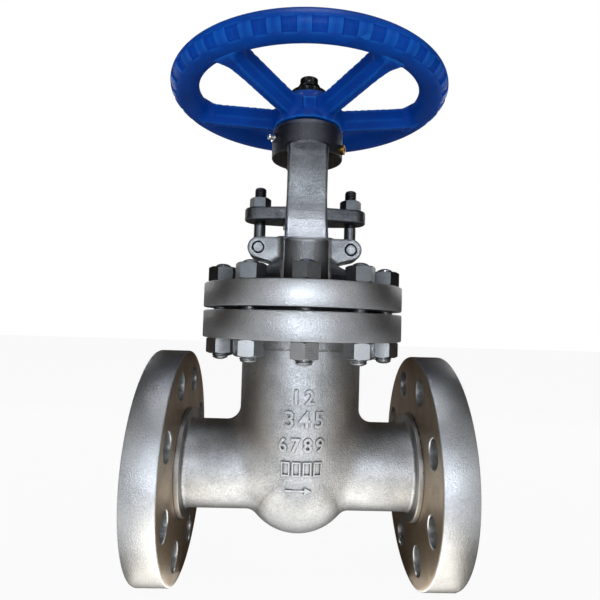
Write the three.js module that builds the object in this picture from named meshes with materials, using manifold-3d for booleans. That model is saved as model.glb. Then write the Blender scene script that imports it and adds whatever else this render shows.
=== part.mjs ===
// Flanged wedge gate valve: bolted bonnet, outside screw and yoke, rising stem, fixed handwheel.
// Millimetres. +X runs along the pipe from inlet to outlet, -Y is the front and +Z is up.
// The origin is where the pipe axis crosses the stem axis. The gate stands fully closed.

import * as THREE from 'three';
import { mergeVertices } from 'three/addons/utils/BufferGeometryUtils.js';
import Module from 'manifold-3d';

const wasm = await Module();
wasm.setup();

// ---------------------------------------------------------------- facets and clearances
const FINE = 40;
const MEDIUM = 20;
const COARSE = 10;
const SEAT_GAP = 0.3;
const RUN_GAP = 0.35;
const CUT_PAST = 2;
const SINK = 1.5;

// ---------------------------------------------------------------- pipe run
const BORE = 65;
const FACE_TO_FACE = 290;
const PIPE_FLANGE_DIAMETER = 220;
const PIPE_FLANGE_RIM = 30;
const RAISED_FACE = 2;
const RAISED_FACE_DIAMETER = 122;
const PIPE_BOLT_CIRCLE = 170;
const PIPE_BOLT_HOLE = 26;
const PIPE_BOLTS = 8;
const NECK_WALL = 10;
const HUB_FILLET = 10;
const HUB_STEP = 6;

// ---------------------------------------------------------------- gate, seats and body
const SEAT_WALL = 8.5;
const SEAT_DEPTH = 46;
const WEDGE_HALF = 20;
const WEDGE_ANGLE = THREE.MathUtils.degToRad(5);
const WEDGE_OVERLAP = 1;
const CHAMBER_CLEARANCE = 0.8;
const GUIDE_RIB = 10;
const GUIDE_RIB_DEPTH = 7.4;
const GUIDE_RIB_PAST_LUG = 8;
const GUIDE_RIB_BELOW_LUG = 22;
const GUIDE_LUG_PROUD = 2.5;
const GUIDE_LUG_HALF = 11;
const GUIDE_LUG_BOTTOM = -8;
const GUIDE_LUG_BELOW_GATE_TOP = 2;
const CHAMBER_SIDE_GAP = 0.35;
const CHAMBER_BELOW_GATE = 11;
const BODY_WALL = 12;
const BOTTOM_WALL = 11;
const DOME_CENTRE = -8;
const BARREL_FOOT = 55;
const LIFT_PAST_BORE = 5;

// ---------------------------------------------------------------- bonnet joint
const JOINT_FLANGE_BOTTOM = 125.5;
const BODY_FLANGE = 26;
const GASKET = 3;
const GASKET_INSET = 3;
const GASKET_WIDTH = 18;
const BONNET_FLANGE = 23.5;
const BONNET_STUDS = 10;
const STUD_DIAMETER = 16;
const STUD_HOLE_GAP = 1;
const STUD_CLEARANCE = 9.5;
const FLANGE_EDGE = 16.5;
const STUD_NUT_FLATS = 24;
const STUD_NUT_HEIGHT = 15;
const STUD_PAST_TOP_NUT = 3.5;
const STUD_PAST_BOTTOM_NUT = 6;

// ---------------------------------------------------------------- stem and its foot
const STEM_DIAMETER = 24;
const STEM_PAST_WHEEL_NUT = 16.3;
const STEM_CHAMFER = 2;
const FOOT_HEIGHT = 8.2;
const FOOT_HALF_X = 11;
const FOOT_HALF_Y = 11;
const FOOT_NECK_HALF = 7;
const FOOT_GAP = 0.4;
const SLOT_BOSS_WALL = 6;
const SLOT_BOSS_ROOF = 9.4;
const SLOT_BOSS_ROOT = 12;
const SLOT_BOSS_HALF_Y = 16;
const COLLAR_STEP = 4.5;
const COLLAR_HEIGHT = 10;

// ---------------------------------------------------------------- bonnet, packing and gland
const BACKSEAT_IN_FLANGE = 10;
const BACKSEAT_RECESS_PAST_COLLAR = 18.5;
const BUSH_HEAD = 3.5;
const BUSH_HEAD_STEP = 3.5;
const BUSH_WALL = 5.5;
const BUSH_LENGTH = 13;
const BOX_FLOOR_ABOVE_FLANGE = 12;
const BOX_DEPTH = 37;
const BOX_WALL = 8.5;
const PACKING_RINGS = 4;
const PACKING_SIDE = 8;
const PACKING_HEIGHT = 7;
const BONNET_DOME_NUT_GAP = 7;
const BONNET_DOME_TAPER = 22;
const FOLLOWER_HEAD_STEP = 2.5;
const FOLLOWER_HEAD = 6.4;
const GLAND_ABOVE_BOX = 16.5;
const GLAND_THICKNESS = 13.5;
const GLAND_WALL = 10;
const GLAND_END_WALL = 9.5;
const GLAND_BOLT_PAST_BOX = 18;
const EYE_BOLT_DIAMETER = 12;
const EYE_BOLT_PAST_NUT = 11.5;
const EYE_WALL = 5.5;
const EYE_WIDER = 0.3;
const EYE_PIN_DIAMETER = 10;
const EYE_PIN_PROUD = 0.4;
const GLAND_NUT_FLATS = 19;
const GLAND_NUT_HEIGHT = 11;
const EAR_PAST_EYE = 0.5;
const EAR_CHEEK = 7.5;
const EAR_HEEL_INSET = 6.5;
const EAR_HEEL_DROP = 28.5;

// ---------------------------------------------------------------- yoke and its boss
const ARM_WIDTH = 39;
const ARM_THICKNESS = 13;
const ARM_GLAND_GAP = 5;
const ARM_FOOT_NUT_GAP = 11;
const ARM_FOOT_HEIGHT = 41;
const ARM_FOOT_SLOPE = 18;
const BOSS_ABOVE_FLANGE = 131.5;
const BOSS_HEIGHT = 27.5;
const BOSS_FLOOR = 4.5;
const BOSS_WALL = 8.2;
const ARM_SHOULDER = 3;
const ARM_SHOULDER_RISE = 6;

// ---------------------------------------------------------------- yoke sleeve and bearing
const SLEEVE_WALL = 4.8;
const SLEEVE_TOP_WALL = 4;
const SLEEVE_FLAT_DEPTH = 1.5;
const SLEEVE_FLAT_STEPS = 8;
const SLEEVE_SHOULDER_WALL = 7;
const SLEEVE_COLLAR_WALL = 14;
const BEARING_PAST_COLLAR = 2.3;
const SLEEVE_COLLAR = 5;
const SLEEVE_BOTTOM_RECESS = 1;
const RACE_THICKNESS = 3;
const BALL_RADIUS = 2.7;
const BALLS = 10;
const CAGE_THICKNESS = 1.6;
const CAGE_EDGE = 3.6;
const THRUST_WASHER = 2;
const CAP_INSET = 2.5;
const CAP_RIM = 4;
const CAP_TO_HUB = 1.2;

// ---------------------------------------------------------------- handwheel
const WHEEL_RADIUS = 126;
const RIM_HALF_WIDTH = 14;
const RIM_HALF_HEIGHT = 12;
const RIM_ABOVE_HUB_BOTTOM = 32.8;
const RIM_SIDES = 12;
const SPOKES = 5;
const FIRST_SPOKE = THREE.MathUtils.degToRad(-56);
const SPOKE_WIDTH = 18;
const SPOKE_DEPTH = 20;
const SPOKE_RIM_RISE = 18;
const HUB_HEIGHT = 29;
const HUB_BOTTOM_WALL = 19;
const HUB_TOP_WALL = 14;
const WHEEL_NUT_WALL = 4.5;
const WHEEL_NUT_HEIGHT = 9.5;
const WHEEL_NUT_CHAMFER = 2;
const SLEEVE_BELOW_NUT_TOP = 0.5;

// ---------------------------------------------------------------- boss fittings
const NIPPLE_ANGLE = THREE.MathUtils.degToRad(-157);
const NIPPLE_UP_BOSS = 17.5;
const NIPPLE_SHANK_RADIUS = 3;
const NIPPLE_BASE_RADIUS = 4.6;
const NIPPLE_BALL_RADIUS = 3.1;
const NIPPLE_LENGTH = 7;
const SCREW_ANGLE = THREE.MathUtils.degToRad(-20);
const SCREW_UP_BOSS = 8.5;
const SCREW_RADIUS = 4;
const SCREW_HEAD_RADIUS = 5;
const SCREW_HEAD = 3;
const SCREW_SOCKET_RADIUS = 2.4;
const SCREW_SOCKET_DEPTH = 2;

// ---------------------------------------------------------------- sizes that follow from these
const boreRadius = BORE / 2;
const neckRadius = boreRadius + NECK_WALL;
const hubRadius = neckRadius + HUB_FILLET;
const rimFace = FACE_TO_FACE / 2 - RAISED_FACE;
const rimBack = rimFace - PIPE_FLANGE_RIM;
const seatRadius = boreRadius + SEAT_WALL;
const wedgeRadius = seatRadius + WEDGE_OVERLAP;
const gateCorner = Math.hypot(wedgeRadius, WEDGE_HALF);
const chamberRadius = aroundFlats(gateCorner + CHAMBER_CLEARANCE, FINE);
const chamberDepth = wedgeRadius + CHAMBER_BELOW_GATE;
const domeRadius = chamberDepth + BOTTOM_WALL + DOME_CENTRE;
const barrelRadius = chamberRadius + BODY_WALL;
const lift = BORE + LIFT_PAST_BORE;
const chamberHalf = WEDGE_HALF + wedgeRadius * Math.tan(WEDGE_ANGLE) + CHAMBER_SIDE_GAP;
const lugTop = wedgeRadius - GUIDE_LUG_BELOW_GATE_TOP;
const ribBottom = GUIDE_LUG_BOTTOM - GUIDE_RIB_BELOW_LUG;
const ribTop = lugTop + lift + GUIDE_RIB_PAST_LUG;

const bodyFlangeTop = JOINT_FLANGE_BOTTOM + BODY_FLANGE;
const bonnetFlangeBottom = bodyFlangeTop + GASKET;
const bonnetFlangeTop = bonnetFlangeBottom + BONNET_FLANGE;
const studNutCorner = STUD_NUT_FLATS / Math.sqrt(3);
const studCircleRadius = barrelRadius + studNutCorner + STUD_CLEARANCE;
const studNutInner = studCircleRadius - studNutCorner;
const studHoleRadius = STUD_DIAMETER / 2 + STUD_HOLE_GAP;
const gasketInner = chamberRadius + GASKET_INSET;
const jointFlangeRadius = studCircleRadius + FLANGE_EDGE;
const studTop = bonnetFlangeTop + STUD_NUT_HEIGHT + STUD_PAST_TOP_NUT;
const studBottom = JOINT_FLANGE_BOTTOM - STUD_NUT_HEIGHT - STUD_PAST_BOTTOM_NUT;

const stemRadius = STEM_DIAMETER / 2;
const stemHole = stemRadius + RUN_GAP;
const collarRadius = stemRadius + COLLAR_STEP;
const footBottom = wedgeRadius + FOOT_GAP;
const footTop = footBottom + FOOT_HEIGHT;
const slotBossTop = footTop + SLOT_BOSS_ROOF;
const footNeckTop = slotBossTop + CUT_PAST;
const backseat = bonnetFlangeBottom + BACKSEAT_IN_FLANGE;
const backseatRecess = collarRadius + BACKSEAT_RECESS_PAST_COLLAR;
const bushRadius = stemRadius + BUSH_WALL;
const bushHeadRadius = bushRadius + BUSH_HEAD_STEP;
const collarTop = backseat - lift - SEAT_GAP;
const boxFloor = bonnetFlangeTop + BOX_FLOOR_ABOVE_FLANGE;
const boxTop = boxFloor + BOX_DEPTH;
const boxRadius = stemRadius + PACKING_SIDE;
const boxOuterRadius = boxRadius + BOX_WALL;
const bonnetDomeRadius = studNutInner - BONNET_DOME_NUT_GAP;
const followerHeadRadius = boxRadius + FOLLOWER_HEAD_STEP;
const glandHalfWidth = stemRadius + GLAND_WALL;
const glandBoltSpread = boxOuterRadius + GLAND_BOLT_PAST_BOX;
const packingTop = boxFloor + PACKING_RINGS * PACKING_HEIGHT;
const glandBottom = boxTop + GLAND_ABOVE_BOX;
const glandTop = glandBottom + GLAND_THICKNESS;
const eyeBoltTop = glandTop + GLAND_NUT_HEIGHT + EYE_BOLT_PAST_NUT;
const eyeBoltRadius = EYE_BOLT_DIAMETER / 2;
const glandEndRadius = eyeBoltRadius + GLAND_END_WALL;
const pinRadius = EYE_PIN_DIAMETER / 2;
const eyeRadius = pinRadius + EYE_WALL;
const eyeThickness = EYE_BOLT_DIAMETER + EYE_WIDER;
const earRadius = eyeRadius + EAR_PAST_EYE;
const pinHeight = boxTop - earRadius;
const earHeel = boxTop - EAR_HEEL_DROP;
const slotHalfDepth = eyeThickness / 2 + RUN_GAP;
const earHalfDepth = slotHalfDepth + EAR_CHEEK;

const armInner = glandHalfWidth + ARM_GLAND_GAP;
const armOuter = armInner + ARM_THICKNESS;
const armFoot = studNutInner - ARM_FOOT_NUT_GAP;
const armFootTop = bonnetFlangeTop + ARM_FOOT_HEIGHT;
const bossBottom = bonnetFlangeTop + BOSS_ABOVE_FLANGE;
const bossTop = bossBottom + BOSS_HEIGHT;
const sleeveRadius = stemRadius + SLEEVE_WALL;
const sleeveTopRadius = stemRadius + SLEEVE_TOP_WALL;
const sleeveFlat = sleeveTopRadius - SLEEVE_FLAT_DEPTH;
const sleeveShoulderRadius = stemRadius + SLEEVE_SHOULDER_WALL;
const sleeveCollarRadius = stemRadius + SLEEVE_COLLAR_WALL;
const boreOfBoss = sleeveCollarRadius + BEARING_PAST_COLLAR;
const bossRadius = boreOfBoss + BOSS_WALL;
const capRadius = bossRadius - CAP_INSET;
const raceFloor = bossBottom + BOSS_FLOOR;
const ballCentre = raceFloor + RACE_THICKNESS + SEAT_GAP + BALL_RADIUS;
const shaftRaceBottom = ballCentre + BALL_RADIUS + SEAT_GAP;
const sleeveCollarBottom = shaftRaceBottom + RACE_THICKNESS;
const sleeveCollarTop = sleeveCollarBottom + SLEEVE_COLLAR;
const thrustWasherBottom = sleeveCollarTop + SEAT_GAP;
const thrustWasherTop = thrustWasherBottom + THRUST_WASHER;
const capTop = bossTop + CAP_RIM;
const hubBottom = capTop + CAP_TO_HUB;
const hubTop = hubBottom + HUB_HEIGHT;
const hubBottomRadius = sleeveTopRadius + HUB_BOTTOM_WALL;
const hubTopRadius = sleeveTopRadius + HUB_TOP_WALL;
const wheelNutRadius = sleeveTopRadius + WHEEL_NUT_WALL;
const wheelNutTop = hubTop + WHEEL_NUT_HEIGHT;
const stemTop = wheelNutTop + STEM_PAST_WHEEL_NUT;
const rimCentre = hubBottom + RIM_ABOVE_HUB_BOTTOM;
const nippleHeight = bossBottom + NIPPLE_UP_BOSS;
const screwHeight = bossBottom + SCREW_UP_BOSS;

// ---------------------------------------------------------------- finishes
function finish(color, roughness, metalness) {
  return () => new THREE.MeshStandardMaterial({ color, roughness, metalness });
}

const castSteel = finish(0xa9adac, 0.55, 0.85);
const castBonnet = finish(0x8c8f8f, 0.55, 0.85);
const turnedSteel = finish(0xc9cccd, 0.3, 1.0);
const hardFacing = finish(0xb9bab6, 0.3, 1.0);
const zincSteel = finish(0x8d9392, 0.4, 0.9);
const darkSteel = finish(0x4c4f52, 0.5, 0.8);
const blackSteel = finish(0x17181a, 0.45, 0.5);
const bronze = finish(0xa5793c, 0.4, 0.9);
const brass = finish(0xbf9a4a, 0.35, 0.9);
const graphite = finish(0x2c2d2f, 0.8, 0.1);
const blueEnamel = finish(0x0a3ea6, 0.35, 0.0);

// ---------------------------------------------------------------- solids
function signedVolume(position, index) {
  const [a, b, c] = [new THREE.Vector3(), new THREE.Vector3(), new THREE.Vector3()];
  let sum = 0;
  for (let i = 0; i < index.length; i += 3) {
    a.fromBufferAttribute(position, index[i]);
    b.fromBufferAttribute(position, index[i + 1]);
    c.fromBufferAttribute(position, index[i + 2]);
    sum += a.dot(b.cross(c)) / 6;
  }
  return sum;
}

// A closed geometry as a solid with its faces pointing out.
function solid(geometry) {
  const bare = geometry.clone();
  bare.deleteAttribute('normal');
  bare.deleteAttribute('uv');
  const merged = mergeVertices(bare, 1e-4);
  const index = [];
  for (let i = 0; i < merged.index.count; i += 3) {
    const [p, q, r] = [0, 1, 2].map((k) => merged.index.getX(i + k));
    if (p !== q && q !== r && r !== p) {
      index.push(p, q, r);
    }
  }
  if (signedVolume(merged.attributes.position, index) < 0) {
    index.reverse();
  }
  return new wasm.Manifold(new wasm.Mesh({
    numProp: 3,
    vertProperties: new Float32Array(merged.attributes.position.array),
    triVerts: new Uint32Array(index),
  }));
}

function join(first, ...others) {
  return others.reduce((whole, piece) => whole.add(piece), first);
}

function cut(blank, ...tools) {
  return tools.reduce((left, tool) => left.subtract(tool), blank);
}

function mesh(name, body, makeFinish) {
  const { vertProperties, triVerts } = body.getMesh();
  const geometry = new THREE.BufferGeometry();
  geometry.setAttribute('position', new THREE.BufferAttribute(new Float32Array(vertProperties), 3));
  geometry.setIndex(Array.from(triVerts));
  const part = new THREE.Mesh(geometry.toNonIndexed(), makeFinish());
  part.geometry.computeVertexNormals();
  part.name = name;
  return part;
}

// The corner radius of a faceted hole whose flats touch the true radius.
function aroundFlats(radius, facets) {
  return radius / Math.cos(Math.PI / facets);
}

// [radius, height] pairs turned about Z.
function turned(profile, facets) {
  const points = profile.map(([radius, height]) => new THREE.Vector2(radius, height));
  return solid(new THREE.LatheGeometry(points, facets).rotateX(Math.PI / 2));
}

// [radius, distance] pairs turned about X.
function turnedAboutX(profile, facets) {
  const points = profile.map(([radius, distance]) => new THREE.Vector2(radius, distance));
  return solid(new THREE.LatheGeometry(points, facets).rotateZ(-Math.PI / 2));
}

// [radius, distance] pairs turned about a line that leaves the Z axis at the given angle and height.
function turnedRadially(profile, facets, angle, height) {
  const points = profile.map(([radius, distance]) => new THREE.Vector2(radius, distance));
  const geometry = new THREE.LatheGeometry(points, facets).rotateZ(-Math.PI / 2);
  return solid(geometry.rotateZ(angle).translate(0, 0, height));
}

function pillar(radius, bottom, top, facets) {
  return turned([[0, bottom], [radius, bottom], [radius, top], [0, top]], facets);
}

function ring(inner, outer, bottom, top, facets) {
  const hole = aroundFlats(inner, facets);
  return turned([[hole, bottom], [outer, bottom], [outer, top], [hole, top], [hole, bottom]], facets);
}

function holeAt(x, y, radius, bottom, top, facets) {
  const geometry = new THREE.CylinderGeometry(1, 1, top - bottom, facets).rotateX(Math.PI / 2);
  const corner = aroundFlats(radius, facets);
  return solid(geometry.scale(corner, corner, 1).translate(x, y, (bottom + top) / 2));
}

function rodAlongX(radius, from, to, facets) {
  const geometry = new THREE.CylinderGeometry(radius, radius, to - from, facets).rotateZ(Math.PI / 2);
  return solid(geometry.translate((from + to) / 2, 0, 0));
}

function rodAlongY(radius, halfLength, x, z, facets) {
  const geometry = new THREE.CylinderGeometry(radius, radius, 2 * halfLength, facets);
  return solid(geometry.translate(x, 0, z));
}

function block(x0, x1, y0, y1, z0, z1) {
  const geometry = new THREE.BoxGeometry(x1 - x0, y1 - y0, z1 - z0);
  return solid(geometry.translate((x0 + x1) / 2, (y0 + y1) / 2, (z0 + z1) / 2));
}

// Points on an arc of a circle, or of an ellipse when a second radius is given.
function arc(centreA, centreB, radiusA, from, to, steps, radiusB = radiusA) {
  return Array.from({ length: steps + 1 }, (_, i) => {
    const angle = THREE.MathUtils.degToRad(from + ((to - from) * i) / steps);
    return [centreA + radiusA * Math.cos(angle), centreB + radiusB * Math.sin(angle)];
  });
}

function shapeOf(points) {
  return new THREE.Shape(points.map(([a, b]) => new THREE.Vector2(a, b)));
}

// An outline in X and Z, given equal depth to the front and the back of Y = 0.
function plateAlongY(points, halfDepth) {
  const options = { depth: 2 * halfDepth, bevelEnabled: false };
  const geometry = new THREE.ExtrudeGeometry(shapeOf(points), options);
  return solid(geometry.translate(0, 0, -halfDepth).rotateX(Math.PI / 2));
}

// An outline in Y and Z, given equal width to both sides of X = 0.
function plateAlongX(points, halfWidth) {
  const options = { depth: 2 * halfWidth, bevelEnabled: false };
  const geometry = new THREE.ExtrudeGeometry(shapeOf(points), options);
  return solid(geometry.translate(0, 0, -halfWidth).rotateX(Math.PI / 2).rotateZ(Math.PI / 2));
}

// An outline in X and Y, raised from bottom to top.
function plateAlongZ(points, bottom, top) {
  const options = { depth: top - bottom, bevelEnabled: false };
  return solid(new THREE.ExtrudeGeometry(shapeOf(points), options).translate(0, 0, bottom));
}

function aroundCircle(count, radius, start) {
  return Array.from({ length: count }, (_, i) => {
    const angle = start + (i * 2 * Math.PI) / count;
    return { angle, x: radius * Math.cos(angle), y: radius * Math.sin(angle) };
  });
}

function mirrored(profile) {
  return profile.map(([radius, distance]) => [radius, -distance]).reverse();
}

// ---------------------------------------------------------------- valve body
function pipeRun() {
  const flangeRadius = PIPE_FLANGE_DIAMETER / 2;
  const half = [
    [neckRadius, rimBack - HUB_STEP - HUB_FILLET],
    ...arc(hubRadius, rimBack - HUB_STEP - HUB_FILLET, HUB_FILLET, 180, 90, 3).slice(1),
    [hubRadius, rimBack],
    [flangeRadius, rimBack],
    [flangeRadius, rimFace],
    [RAISED_FACE_DIAMETER / 2, rimFace],
    [RAISED_FACE_DIAMETER / 2, FACE_TO_FACE / 2],
    [0, FACE_TO_FACE / 2],
  ];
  return turnedAboutX([...mirrored(half), ...half], FINE);
}

function pipeBoltHoles() {
  const start = Math.PI / PIPE_BOLTS;
  return aroundCircle(PIPE_BOLTS, PIPE_BOLT_CIRCLE / 2, start).map(({ x, y }) => {
    const corner = aroundFlats(PIPE_BOLT_HOLE / 2, COARSE);
    const reach = FACE_TO_FACE / 2 + CUT_PAST;
    const hole = new THREE.CylinderGeometry(corner, corner, reach - rimBack + CUT_PAST, COARSE);
    hole.rotateZ(Math.PI / 2).translate((reach + rimBack - CUT_PAST) / 2, x, y);
    return [solid(hole), solid(hole.clone().rotateZ(Math.PI))];
  }).flat();
}

function barrel() {
  return turned([
    ...arc(0, DOME_CENTRE, domeRadius, -90, 0, 7),
    [barrelRadius, BARREL_FOOT],
    [barrelRadius, JOINT_FLANGE_BOTTOM + CUT_PAST],
    [0, JOINT_FLANGE_BOTTOM + CUT_PAST],
  ], FINE);
}

function studPlaces() {
  return aroundCircle(BONNET_STUDS, studCircleRadius, -Math.PI / 2);
}

function studHoles(bottom, top) {
  const [from, to] = [bottom - CUT_PAST, top + CUT_PAST];
  return studPlaces().map(({ x, y }) => holeAt(x, y, studHoleRadius, from, to, COARSE));
}

// The space that the gate moves in: round above the seats and narrow between them.
function chamber() {
  const round = turned([
    ...arc(0, 0, chamberRadius, -90, 0, 5, chamberDepth),
    [chamberRadius, bodyFlangeTop + CUT_PAST],
    [0, bodyFlangeTop + CUT_PAST],
  ], FINE);
  const seatBossTop = seatRadius + SEAT_WALL;
  const reach = chamberRadius + CUT_PAST;
  const depth = chamberDepth + CUT_PAST;
  const bosses = [-1, 1].map((side) => {
    const [near, far] = [chamberHalf, reach].map((x) => side * x).sort((a, b) => a - b);
    return block(near, far, -reach, reach, -depth, seatBossTop);
  });
  return cut(round, ...bosses);
}

function seatPockets() {
  const mouth = WEDGE_HALF - CUT_PAST;
  const corner = aroundFlats(seatRadius + SEAT_GAP, FINE);
  return [[-SEAT_DEPTH, -mouth], [mouth, SEAT_DEPTH]].map(([a, b]) => rodAlongX(corner, a, b, FINE));
}

function guideRibs() {
  const inner = chamberRadius - GUIDE_RIB_DEPTH;
  const outer = chamberRadius + CUT_PAST;
  const half = GUIDE_RIB / 2;
  const front = block(-half, half, -outer, -inner, ribBottom, ribTop);
  const back = block(-half, half, inner, outer, ribBottom, ribTop);
  return [front, back];
}

function valveBody() {
  const flange = pillar(jointFlangeRadius, JOINT_FLANGE_BOTTOM, bodyFlangeTop, FINE);
  const outside = join(pipeRun(), barrel(), flange);
  const reach = FACE_TO_FACE / 2 + CUT_PAST;
  const bore = rodAlongX(aroundFlats(boreRadius, FINE), -reach, reach, FINE);
  const holes = [...pipeBoltHoles(), ...studHoles(JOINT_FLANGE_BOTTOM, bodyFlangeTop)];
  const hollow = cut(outside, bore, chamber(), ...seatPockets(), ...holes);
  return join(hollow, ...guideRibs());
}

// ---------------------------------------------------------------- seats and gate
// A wedge outline in X and Z whose faces lean with the gate.
function wedgeOutline(halfAtAxis, bottom, top) {
  const lean = Math.tan(WEDGE_ANGLE);
  const low = halfAtAxis + bottom * lean;
  const high = halfAtAxis + top * lean;
  return [[-low, bottom], [low, bottom], [high, top], [-high, top]];
}

function seatRing(side) {
  const back = side * (SEAT_DEPTH - SEAT_GAP);
  const front = side * (WEDGE_HALF - 2 * WEDGE_OVERLAP - SEAT_WALL);
  const [from, to] = [back, front].sort((a, b) => a - b);
  const disc = rodAlongX(seatRadius, from, to, FINE);
  const bore = rodAlongX(aroundFlats(boreRadius, FINE), from - CUT_PAST, to + CUT_PAST, FINE);
  const reach = wedgeRadius + CUT_PAST;
  const faceGap = SEAT_GAP / Math.cos(WEDGE_ANGLE);
  const gate = plateAlongY(wedgeOutline(WEDGE_HALF + faceGap, -reach, reach), reach);
  return cut(disc, bore, gate);
}

function wedge() {
  const taper = plateAlongY(wedgeOutline(WEDGE_HALF, -wedgeRadius - CUT_PAST, slotBossTop), wedgeRadius);
  const width = WEDGE_HALF + SEAT_WALL;
  const disc = rodAlongX(wedgeRadius, -width, width, FINE).intersect(taper);
  const bossHalf = FOOT_HALF_X + FOOT_GAP + SLOT_BOSS_WALL;
  const bossRoot = footBottom - SLOT_BOSS_ROOT;
  const bossDepth = SLOT_BOSS_HALF_Y;
  const boss = block(-bossHalf, bossHalf, -bossDepth, bossDepth, bossRoot, slotBossTop);
  const lugReach = wedgeRadius + GUIDE_LUG_PROUD;
  const lugs = block(-GUIDE_LUG_HALF, GUIDE_LUG_HALF, -lugReach, lugReach, GUIDE_LUG_BOTTOM, lugTop);
  const blank = join(disc, boss, lugs);
  const grooveHalf = GUIDE_RIB / 2 + FOOT_GAP;
  const grooveFloor = chamberRadius - GUIDE_RIB_DEPTH - FOOT_GAP;
  const far = chamberRadius + CUT_PAST;
  const grooves = [[-far, -grooveFloor], [grooveFloor, far]].map(([a, b]) => (
    block(-grooveHalf, grooveHalf, a, b, -far, far)
  ));
  const headHalf = FOOT_HALF_X + FOOT_GAP;
  const [headLow, headHigh] = [footBottom - FOOT_GAP, footTop + FOOT_GAP];
  const headSlot = block(-headHalf, headHalf, -far, far, headLow, headHigh);
  const neckHalf = FOOT_NECK_HALF + FOOT_GAP;
  const neckSlot = block(-neckHalf, neckHalf, -far, far, headHigh - CUT_PAST, slotBossTop + CUT_PAST);
  return cut(blank, ...grooves, headSlot, neckSlot);
}

// ---------------------------------------------------------------- stem
function stem() {
  const shaft = turned([
    [0, footNeckTop],
    [stemRadius, footNeckTop],
    [stemRadius, collarTop - COLLAR_HEIGHT],
    [collarRadius, collarTop - COLLAR_HEIGHT],
    [collarRadius, collarTop],
    [stemRadius, collarTop],
    [stemRadius, stemTop - STEM_CHAMFER],
    [stemRadius - STEM_CHAMFER, stemTop],
    [0, stemTop],
  ], MEDIUM);
  const head = block(-FOOT_HALF_X, FOOT_HALF_X, -FOOT_HALF_Y, FOOT_HALF_Y, footBottom, footTop);
  const half = FOOT_NECK_HALF;
  const neck = block(-half, half, -half, half, footBottom, footNeckTop + CUT_PAST);
  return join(shaft, head, neck);
}

// ---------------------------------------------------------------- bonnet with its yoke
function bonnetDome() {
  return turned([
    [0, bonnetFlangeTop - SINK],
    [bonnetDomeRadius, bonnetFlangeTop - SINK],
    [bonnetDomeRadius, bonnetFlangeTop],
    [bonnetDomeRadius - BONNET_DOME_TAPER, boxFloor],
    [boxOuterRadius, earHeel],
    [boxOuterRadius, boxTop],
    [0, boxTop],
  ], FINE);
}

function yokeArm(side) {
  const outline = [
    [armInner, bonnetFlangeTop - SINK],
    [armFoot, bonnetFlangeTop - SINK],
    [armFoot, armFootTop],
    [armOuter, armFootTop + ARM_FOOT_SLOPE],
    [armOuter, bossBottom + ARM_SHOULDER],
    [bossRadius - SINK, bossBottom + ARM_SHOULDER + ARM_SHOULDER_RISE],
    [armInner, bossBottom + ARM_SHOULDER + ARM_SHOULDER_RISE],
  ];
  return plateAlongX(outline.map(([y, z]) => [side * y, z]), ARM_WIDTH / 2);
}

function ear(side) {
  const root = boxOuterRadius / 2;
  const outline = [
    [root, earHeel],
    [boxOuterRadius - EAR_HEEL_INSET, earHeel],
    ...arc(glandBoltSpread, pinHeight, earRadius, -75, 90, 7),
    [root, boxTop],
  ];
  return plateAlongY(outline.map(([x, z]) => [side * x, z]), earHalfDepth);
}

function earCuts(side) {
  const inner = glandBoltSpread - eyeRadius - CUT_PAST;
  const outer = glandBoltSpread + earRadius + CUT_PAST;
  const [from, to] = [side * inner, side * outer].sort((a, b) => a - b);
  const low = earHeel - CUT_PAST;
  const slot = block(from, to, -slotHalfDepth, slotHalfDepth, low, boxTop + CUT_PAST);
  const corner = aroundFlats(pinRadius + RUN_GAP, COARSE);
  const pinHole = rodAlongY(corner, earHalfDepth + CUT_PAST, side * glandBoltSpread, pinHeight, COARSE);
  return [slot, pinHole];
}

function boxBores() {
  const underside = bonnetFlangeBottom - CUT_PAST;
  const recess = holeAt(0, 0, backseatRecess, underside, backseat + BUSH_HEAD, FINE);
  const bushTop = backseat + BUSH_HEAD + BUSH_LENGTH;
  const bushBore = holeAt(0, 0, bushRadius + SEAT_GAP, backseat, bushTop, MEDIUM);
  const stemBore = holeAt(0, 0, stemHole, backseat, boxTop, MEDIUM);
  const packingBore = holeAt(0, 0, boxRadius, boxFloor, boxTop + CUT_PAST, MEDIUM);
  return [recess, bushBore, stemBore, packingBore];
}

function bossBores() {
  const sleeveBore = holeAt(0, 0, sleeveRadius + RUN_GAP, bossBottom - CUT_PAST, bossTop, MEDIUM);
  const housing = holeAt(0, 0, boreOfBoss, raceFloor, bossTop + CUT_PAST, FINE);
  return [sleeveBore, housing];
}

function fittingHole(radius, angle, height) {
  const corner = aroundFlats(radius + SEAT_GAP, COARSE);
  const outer = bossRadius + CUT_PAST;
  const line = [[0, stemRadius], [corner, stemRadius], [corner, outer], [0, outer]];
  return turnedRadially(line, COARSE, angle, height);
}

function bonnetYoke() {
  const boss = pillar(bossRadius, bossBottom, bossTop, FINE);
  const arms = [-1, 1].map(yokeArm);
  const ears = [-1, 1].map(ear);
  const flange = pillar(jointFlangeRadius, bonnetFlangeBottom, bonnetFlangeTop, FINE);
  const casting = join(flange, bonnetDome(), ...arms, ...ears, boss);
  return cut(
    casting,
    ...studHoles(bonnetFlangeBottom, bonnetFlangeTop),
    ...[-1, 1].flatMap(earCuts),
    ...boxBores(),
    ...bossBores(),
    fittingHole(NIPPLE_SHANK_RADIUS, NIPPLE_ANGLE, nippleHeight),
    fittingHole(SCREW_RADIUS, SCREW_ANGLE, screwHeight),
  );
}

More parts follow.
